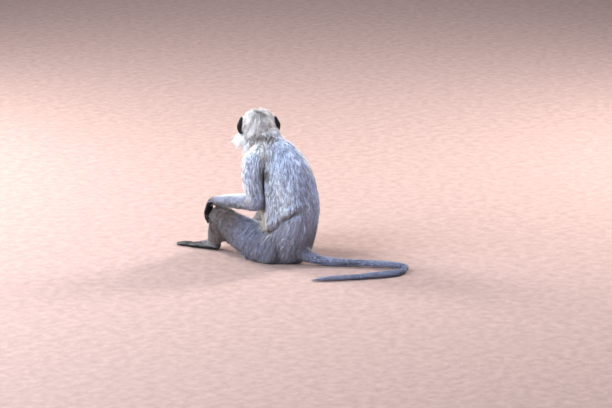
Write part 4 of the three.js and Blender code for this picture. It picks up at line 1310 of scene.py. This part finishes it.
def build_coat():
    face, bary = scatter()
    roots = at_roots(skin_points, face, bary)
    normals = unit(at_roots(skin_normals, face, bary))
    lie, tone, which, share, angle, hair = read_coat(roots, normals)
    count = len(roots)
    length = hair["length"] * MM * chance.normal(1, 0.17, count).clip(0.5, 1.5)
    lift = hair["lift"] * MM * chance.normal(0.9, 0.26, count).clip(0.2, 1.6)
    width = hair["width"] * MM * chance.normal(1, 0.22, count).clip(0.5, 1.6)
    free = hair["free"].copy()
    stray = chance.random(count) < STRAY["share"]
    width[stray] *= STRAY["width"]
    lift[stray] *= STRAY["lift"]
    free[stray] = np.maximum(free[stray], STRAY["free"])
    sway = np.cross(normals, lie) * chance.normal(0, 0.12, count)[:, None]
    heading = unit(lie + sway)
    clump, centres = clumps(roots)
    tuft_tone = chance.normal(1, 0.05, count).clip(0.85, 1.15)
    contrast = STREAK["contrast"] * (1 - 0.6 * smooth_step(0.2, -0.5, normals[:, 1]))  # softer in front
    tone = tone * ((1 + contrast * streaks(roots, heading)) * tuft_tone)[:, None]
    uv = map_place(which, share, angle)
    flowing = (hair["length"] > 56) | (hair["free"] > 0.4)
    pieces = piece_of(which, roots)
    shapes = {str(name): [] for name in np.unique(pieces)}
    for profile, group in ((LYING, ~flowing), (FLOWING, flowing)):
        # The line of the middle tuft of each clump draws the others a little towards it.
        line = np.zeros((count, len(profile), 3))
        own = group.copy()
        own[centres[clump[group]]] = True
        line[own] = comb(profile, roots[own], normals[own], heading[own], length[own], lift[own], free[own])
        pull = np.where(stray, STRAY["pull"], 1)[:, None, None] * (PULL * profile[:, 0] ** 1.3)[None, :, None]
        line = line + (line[centres[clump]] - line) * pull
        for name, made in shapes.items():
            here = group & (pieces == name)
            if here.any():
                theirs = (values[here] for values in (line, normals, width, tone, uv))
                made.append(blade_shapes(profile, *theirs))
    return [piece(name, made) for name, made in shapes.items()]


coats = build_coat()


# ---------------------------------------------------------------- eyes, nails and stiff hairs
IRIS, PUPIL = 6.1, 2.3
CORNEA = dict(rise=0.8, radius=6.4)
AMBER, DEEP_AMBER, EYE_RIM = srgb(84, 51, 27), srgb(38, 23, 15), srgb(24, 17, 15)


def tone_attribute(obj, colours):
    values = np.ones((len(colours), 4), np.float32)
    values[:, :3] = colours
    obj.data.color_attributes.new("tone", "FLOAT_COLOR", "POINT").data.foreach_set("color", values.ravel())


def eye_piece(name, side):
    """An eyeball that looks ahead: domed cornea, round pupil, iris with fibres, dark beyond it."""
    centre = np.array((side * EYE["x"], EYE["y"], EYE["z"]))
    eye = ball("eyeball_" + name, 96, 72, lambda p: p)
    p = points_of(eye)
    from_gaze = math.pi * (np.arccos(np.clip(p[:, 2], -1, 1)) / math.pi) ** 1.6
    angle = np.arctan2(p[:, 1], p[:, 0])
    aside = np.sin(from_gaze)
    away = np.column_stack([aside * np.cos(angle), -np.cos(from_gaze), aside * np.sin(angle)])
    off = np.where(from_gaze < math.pi / 2, EYE["radius"] * aside, math.inf)
    dome = CORNEA["rise"] * np.sqrt(np.maximum(1 - (off / CORNEA["radius"]) ** 2, 0))
    place_points(eye, from_head(centre + away * (EYE["radius"] + dome)[:, None]))
    shade_smooth(eye.data)
    fibres = sum(np.sin(angle * k + phase) for k, phase in ((31, 0.4), (47, 2.1), (19, 4.0))) / 6 + 0.5
    share = np.clip((off - PUPIL) / (IRIS - PUPIL), 0, 1)
    iris = mixed(mixed(DEEP_AMBER, AMBER, 0.35 + 0.65 * fibres), DEEP_AMBER, np.abs(share - 0.45) ** 1.5 * 2)
    tone = mixed(BLACK * 0.4, iris, smooth_step(PUPIL - 0.2, PUPIL + 0.25, off))
    tone_attribute(eye, mixed(tone, EYE_RIM, smooth_step(IRIS - 0.7, IRIS + 0.2, off)))
    return eye


def nail(tube, outward):
    """A curved plate over the tip of a finger or toe."""
    centre, _, _, tangent, size = (v[0] for v in tube.frame(np.array([0.95])))
    up = unit(outward - np.dot(outward, tangent) * tangent)
    aside = np.cross(tangent, up)
    radius = size.mean()

    def shape(p):
        bend = p[:, :1] * 0.95
        height = radius * (0.94 + 0.1 * p[:, 2:] + 0.12 * p[:, 1:2])
        return (centre + aside * height * np.sin(bend) + up * height * np.cos(bend)
                + tangent * radius * (0.55 + 1.05 * p[:, 1:2]))
    return ball("nail", 20, 12, shape)


def nails(side_name, side, pose):
    _, fingers, along = hand_parts(pose, side)
    _, _, toes = foot_parts(pose, side)
    up = np.array((0, 0, 1.0))
    return [joined("nails_hand_" + side_name, [nail(tube, along + up * 0.2) for tube in fingers]),
            joined("nails_foot_" + side_name, [nail(tube, up) for tube in toes])]


def stiff_hairs(name, count, spread, heading, length, width, tone):
    """Single stiff hairs that grow on the head within a box of its frame: centre and half widths."""
    centre, half = np.array(spread[0], float), np.array(spread[1], float)
    at = centre + half * chance.uniform(-1, 1, (count, 3))
    at[:, 0] *= np.where(chance.random(count) < 0.5, -1, 1)
    out = unit(at - HEAD_HEART)
    roots = head_surface(out)
    lead = unit(np.array(heading) * np.column_stack([np.sign(at[:, 0]), np.ones(count), np.ones(count)])
                + chance.normal(0, 0.14, (count, 3)) + out * 0.3)
    size = length * chance.uniform(0.6, 1.15, count)
    share = FLOWING[None, :, :1]
    line = roots[:, None] - out[:, None] * 1.5 + lead[:, None] * size[:, None, None] * share
    line = line + np.array((0, 0, -0.16)) * size[:, None, None] * share**2
    line = from_head(line.reshape(-1, 3)).reshape(count, -1, 3)
    uv = map_place(np.full(count, NAMES.index("head")), np.full(count, 0.1), np.arctan2(at[:, 2], at[:, 0]))
    return piece(name, [blade_shapes(FLOWING, line, out @ HEAD_TURNS.T, np.full(count, width * MM),
                                     np.broadcast_to(tone, (count, 3)), uv, shaded=False)])


eyes = {name: eye_piece(name, side) for name, (side, _) in SIDES.items()}
horn = [plate for name, (side, pose) in SIDES.items() for plate in nails(name, side, pose)]
bristles = [
    stiff_hairs("brow_hairs", 110, ((16, -48, 20), (15, 3, 2)), (0.5, -0.45, 1.0), 19, 0.45, BLACK * 1.4),
    stiff_hairs("muzzle_hairs", 70, ((9, -60, -27), (8, 4, 8)), (0.7, -0.5, -0.7), 8, 0.2, BLACK * 3),
]


# ---------------------------------------------------------------- materials
def material(name, roughness, **sockets):
    mat = bpy.data.materials.new(name)
    mat.use_nodes = True
    shader = mat.node_tree.nodes["Principled BSDF"]
    shader.inputs["Roughness"].default_value = roughness
    for socket, value in sockets.items():
        shader.inputs[socket.replace("_", " ")].default_value = value
    return mat, mat.node_tree, shader


def node(tree, kind, links=(), **values):
    """A node with values on its sockets and links to them from other nodes' outputs."""
    made = tree.nodes.new("ShaderNode" + kind)
    for key, value in values.items():
        made.inputs[key.replace("_", " ")].default_value = value
    for key, output in links:
        tree.links.new(output, made.inputs[key])
    return made


def attribute(tree, name):
    made = tree.nodes.new("ShaderNodeAttribute")
    made.attribute_name = name
    return made


def tone_of(tree):
    return attribute(tree, "tone").outputs["Color"]


def group(name, inputs, outputs):
    """A new node group with its input and output nodes; a socket is a colour or a number."""
    kinds = {"colour": "NodeSocketColor", "number": "NodeSocketFloat"}
    tree = bpy.data.node_groups.new(name, "ShaderNodeTree")
    for in_out, sockets in (("INPUT", inputs), ("OUTPUT", outputs)):
        for label, kind in sockets.items():
            tree.interface.new_socket(name=label, in_out=in_out, socket_type=kinds[kind])
    return tree, tree.nodes.new("NodeGroupInput").outputs, tree.nodes.new("NodeGroupOutput").inputs


def vary(tree, given, made, factor):
    """The given colour made darker and paler by a factor from 0 to 1, as the group's colour."""
    spread = node(tree, "MapRange", [("Value", factor), ("To Min", given["Dark"]), ("To Max", given["Pale"])],
                  From_Min=0.3, From_Max=0.7)
    times = node(tree, "VectorMath", [(0, given["Colour"]), (1, spread.outputs["Result"])])
    times.operation = "MULTIPLY"
    tree.links.new(times.outputs["Vector"], made["Colour"])
    tree.links.new(factor, made["Height"])


def mottle_group():
    """A colour that drifts darker and paler over the surface."""
    numbers = dict.fromkeys(("Dark", "Pale", "Scale", "Detail"), "number")
    tree, given, made = group("mottle", dict(Colour="colour", **numbers),
                              dict(Colour="colour", Height="number"))
    place = tree.nodes.new("ShaderNodeTexCoord").outputs["Object"]
    sources = [("Vector", place), ("Scale", given["Scale"]), ("Detail", given["Detail"])]
    noise = node(tree, "TexNoise", sources, Roughness=0.6)
    vary(tree, given, made, noise.outputs["Fac"])
    return tree


def strands_group():
    """Single hairs that run along each tuft, some darker and some paler, some sleek and some dull."""
    numbers = dict.fromkeys(("Dark", "Pale", "Sleek", "Dull"), "number")
    tree, given, made = group("strands", dict(Colour="colour", **numbers),
                              dict(Colour="colour", Height="number", Roughness="number"))
    strand = attribute(tree, "strand").outputs["Vector"]
    drawn = node(tree, "Mapping", [("Vector", strand)], Scale=(5.5, 1.1, 60))
    hairs = node(tree, "TexNoise", [("Vector", drawn.outputs["Vector"])], Scale=1, Detail=2, Roughness=0.6)
    vary(tree, given, made, hairs.outputs["Fac"])
    shine = node(tree, "MapRange", [("Value", hairs.outputs["Fac"]), ("To Min", given["Sleek"]),
                                    ("To Max", given["Dull"])])
    tree.links.new(shine.outputs["Result"], made["Roughness"])
    return tree


MOTTLE, STRANDS = mottle_group(), strands_group()


def placed(tree, whole, colour, **values):
    """A node group set into a material, with a colour or a colour's source and its values."""
    made = tree.nodes.new("ShaderNodeGroup")
    made.node_tree = whole
    if isinstance(colour, bpy.types.NodeSocket):
        tree.links.new(colour, made.inputs["Colour"])
    else:
        made.inputs["Colour"].default_value = (*colour, 1)
    for key, value in values.items():
        made.inputs[key].default_value = value
    return made.outputs


def relief(tree, shader, height, strength, distance):
    bump = node(tree, "Bump", [("Height", height)], Strength=strength, Distance=distance * MM)
    tree.links.new(bump.outputs["Normal"], shader.inputs["Normal"])


def coat_material(name, sleek):
    """Hair with a soft silky sheen."""
    mat, tree, shader = material(name, 0.5, Specular_IOR_Level=0.25, Sheen_Weight=0.4, Sheen_Roughness=0.4)
    hairs = placed(tree, STRANDS, tone_of(tree), Dark=0.86, Pale=1.12, Sleek=sleek, Dull=sleek + 0.24)
    tree.links.new(hairs["Colour"], shader.inputs["Base Color"])
    tree.links.new(hairs["Roughness"], shader.inputs["Roughness"])
    relief(tree, shader, hairs["Height"], 0.5, 0.25)
    return mat


def skin_material():
    """Dark leathery skin: fine creases, pores, and a dull shine that changes from place to place."""
    mat, tree, shader = material("bare_skin", 0.5, Specular_IOR_Level=0.35)
    place = tree.nodes.new("ShaderNodeTexCoord").outputs["Object"]
    blotches = placed(tree, MOTTLE, tone_of(tree), Dark=0.75, Pale=1.35, Scale=110, Detail=3)
    pores = node(tree, "TexNoise", [("Vector", place)], Scale=1300, Detail=2)
    scales = node(tree, "TexVoronoi", [("Vector", place)], Scale=620)
    tree.links.new(blotches["Colour"], shader.inputs["Base Color"])
    rough = node(tree, "MapRange", [("Value", blotches["Height"])], To_Min=0.46, To_Max=0.72)
    tree.links.new(rough.outputs["Result"], shader.inputs["Roughness"])
    both = node(tree, "Math", [(0, pores.outputs["Fac"]), (1, scales.outputs["Distance"])])
    relief(tree, shader, both.outputs["Value"], 0.45, 0.35)
    return mat


def eye_material():
    mat, tree, shader = material("eye", 0.08, Specular_IOR_Level=0.6, Coat_Weight=1.0, Coat_Roughness=0.03)
    flecks = placed(tree, MOTTLE, tone_of(tree), Dark=0.8, Pale=1.2, Scale=2600, Detail=2)
    tree.links.new(flecks["Colour"], shader.inputs["Base Color"])
    return mat


def nail_material():
    mat, tree, shader = material("nail", 0.3, Specular_IOR_Level=0.55, Coat_Weight=0.3)
    grain = placed(tree, MOTTLE, srgb(44, 38, 42), Dark=0.7, Pale=1.4, Scale=900, Detail=3)
    tree.links.new(grain["Colour"], shader.inputs["Base Color"])
    relief(tree, shader, grain["Height"], 0.3, 0.2)
    return mat


def finish_piece(obj, mat):
    obj.data.materials.clear()
    obj.data.materials.append(mat)
    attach(obj, "root")


grey_coat, pale_coat = coat_material("grey_coat", 0.42), coat_material("pale_coat", 0.46)
for coat in coats:
    pale = any(word in coat.name for word in ("crown", "ruff", "mantle", "breast"))
    finish_piece(coat, pale_coat if pale else grey_coat)
UNDER_HAIR = 0.6  # how dark the skin is under the coat
DARK_ROUND_FACE = 5  # how far the black of the face runs in under the coat, in millimetres
# The brown markings with their painted shade, and the painted shade of the creases, run on into the skin under
# the coat.
under_hair = mixed(skin_tone * UNDER_HAIR, MARK_AND_SHADE_TONE * UNDER_HAIR, marks(skin_points))
under_hair = mixed(under_hair, CREASE_SHADE_TONE, creases(skin_points))
round_face = np.where(is_region(skin_which, "head"), bare_face(to_head(skin_points), DARK_ROUND_FACE), 0)
tone_attribute(skin, mixed(under_hair, BLACK, np.maximum(skin_bare, round_face)))
finish_piece(skin, skin_material())
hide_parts(*[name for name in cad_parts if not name.startswith("eye_")])
eye_finish, nail_finish, bristle_finish = eye_material(), nail_material(), coat_material("stiff_hair", 0.36)
for name, eye in eyes.items():
    finish_piece(eye, eye_finish)
    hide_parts("eye_" + name)
for plate in horn:
    shade_smooth(plate.data)
    finish_piece(plate, nail_finish)
for hairs in bristles:
    finish_piece(hairs, bristle_finish)

# ---------------------------------------------------------------- camera, light and floor
CAMERA = dict(azimuth=140, elevation=15, distance=12.0, sensor=36, aim_right=0.076, aim_up=0.2101)
VIEW_WIDTH = 612 * 3.8 * MM  # what the camera takes in across, at the animal


def view_axes(azimuth, elevation):
    """Towards the camera, its right and its up."""
    az, el = math.radians(azimuth), math.radians(elevation)
    back = Vector((math.sin(az) * math.cos(el), -math.cos(az) * math.cos(el), math.sin(el)))
    right = Vector((math.cos(az), math.sin(az), 0))
    return back, right, back.cross(right)


def build_camera():
    back, right, up = view_axes(CAMERA["azimuth"], CAMERA["elevation"])
    aim = right * CAMERA["aim_right"] + up * CAMERA["aim_up"]
    bpy.ops.object.camera_add(location=aim + back * CAMERA["distance"])
    camera = bpy.context.object
    camera.rotation_euler = Matrix((right, up, back)).transposed().to_euler()
    camera.data.sensor_width = CAMERA["sensor"]
    camera.data.lens = CAMERA["sensor"] * CAMERA["distance"] / VIEW_WIDTH
    camera.data.clip_end = 100
    bpy.context.scene.camera = camera


def soft_light(name, towards, distance, size, power, colour):
    aim = Vector((0, -0.05, 0.25))
    place = aim + towards.normalized() * distance
    bpy.ops.object.light_add(type="AREA", location=place)
    light = bpy.context.object
    light.name = name
    light.rotation_euler = (place - aim).to_track_quat("Z", "Y").to_euler()
    light.data.shape = "DISK"
    light.data.size = size
    light.data.energy = power
    light.data.color = colour


def build_studio():
    back, right, up = view_axes(CAMERA["azimuth"], CAMERA["elevation"])
    soft_light("sun_left", -back * 0.42 - right * 1.0 + up * 0.75, 4.0, 1.2, 290, (1.0, 0.97, 0.93))
    soft_light("sun_right", -back * 0.42 + right * 1.0 + up * 0.85, 4.0, 1.2, 265, (1.0, 0.97, 0.94))
    soft_light("sky_fill", back * 1.0 - right * 1.5 + up * 0.9, 4.5, 3.5, 420, (0.8, 0.9, 1.0))
    world = bpy.data.worlds.new("studio")
    bpy.context.scene.world = world
    world.use_nodes = True
    ground = world.node_tree.nodes["Background"]
    ground.inputs["Color"].default_value = (*srgb(206, 210, 224), 1)
    ground.inputs["Strength"].default_value = 0.84
    deselect()
    bpy.ops.mesh.primitive_plane_add(size=60)
    floor = bpy.context.object
    floor.name = "floor"
    mat, tree, shader = material("floor", 0.95, Specular_IOR_Level=0.1)
    grit = placed(tree, MOTTLE, srgb(147, 125, 119), Dark=0.86, Pale=1.14, Scale=28, Detail=8)
    tree.links.new(grit["Colour"], shader.inputs["Base Color"])
    relief(tree, shader, grit["Height"], 0.25, 6)
    floor.data.materials.append(mat)
    bpy.context.scene.view_settings.view_transform = "Standard"


build_camera()
build_studio()
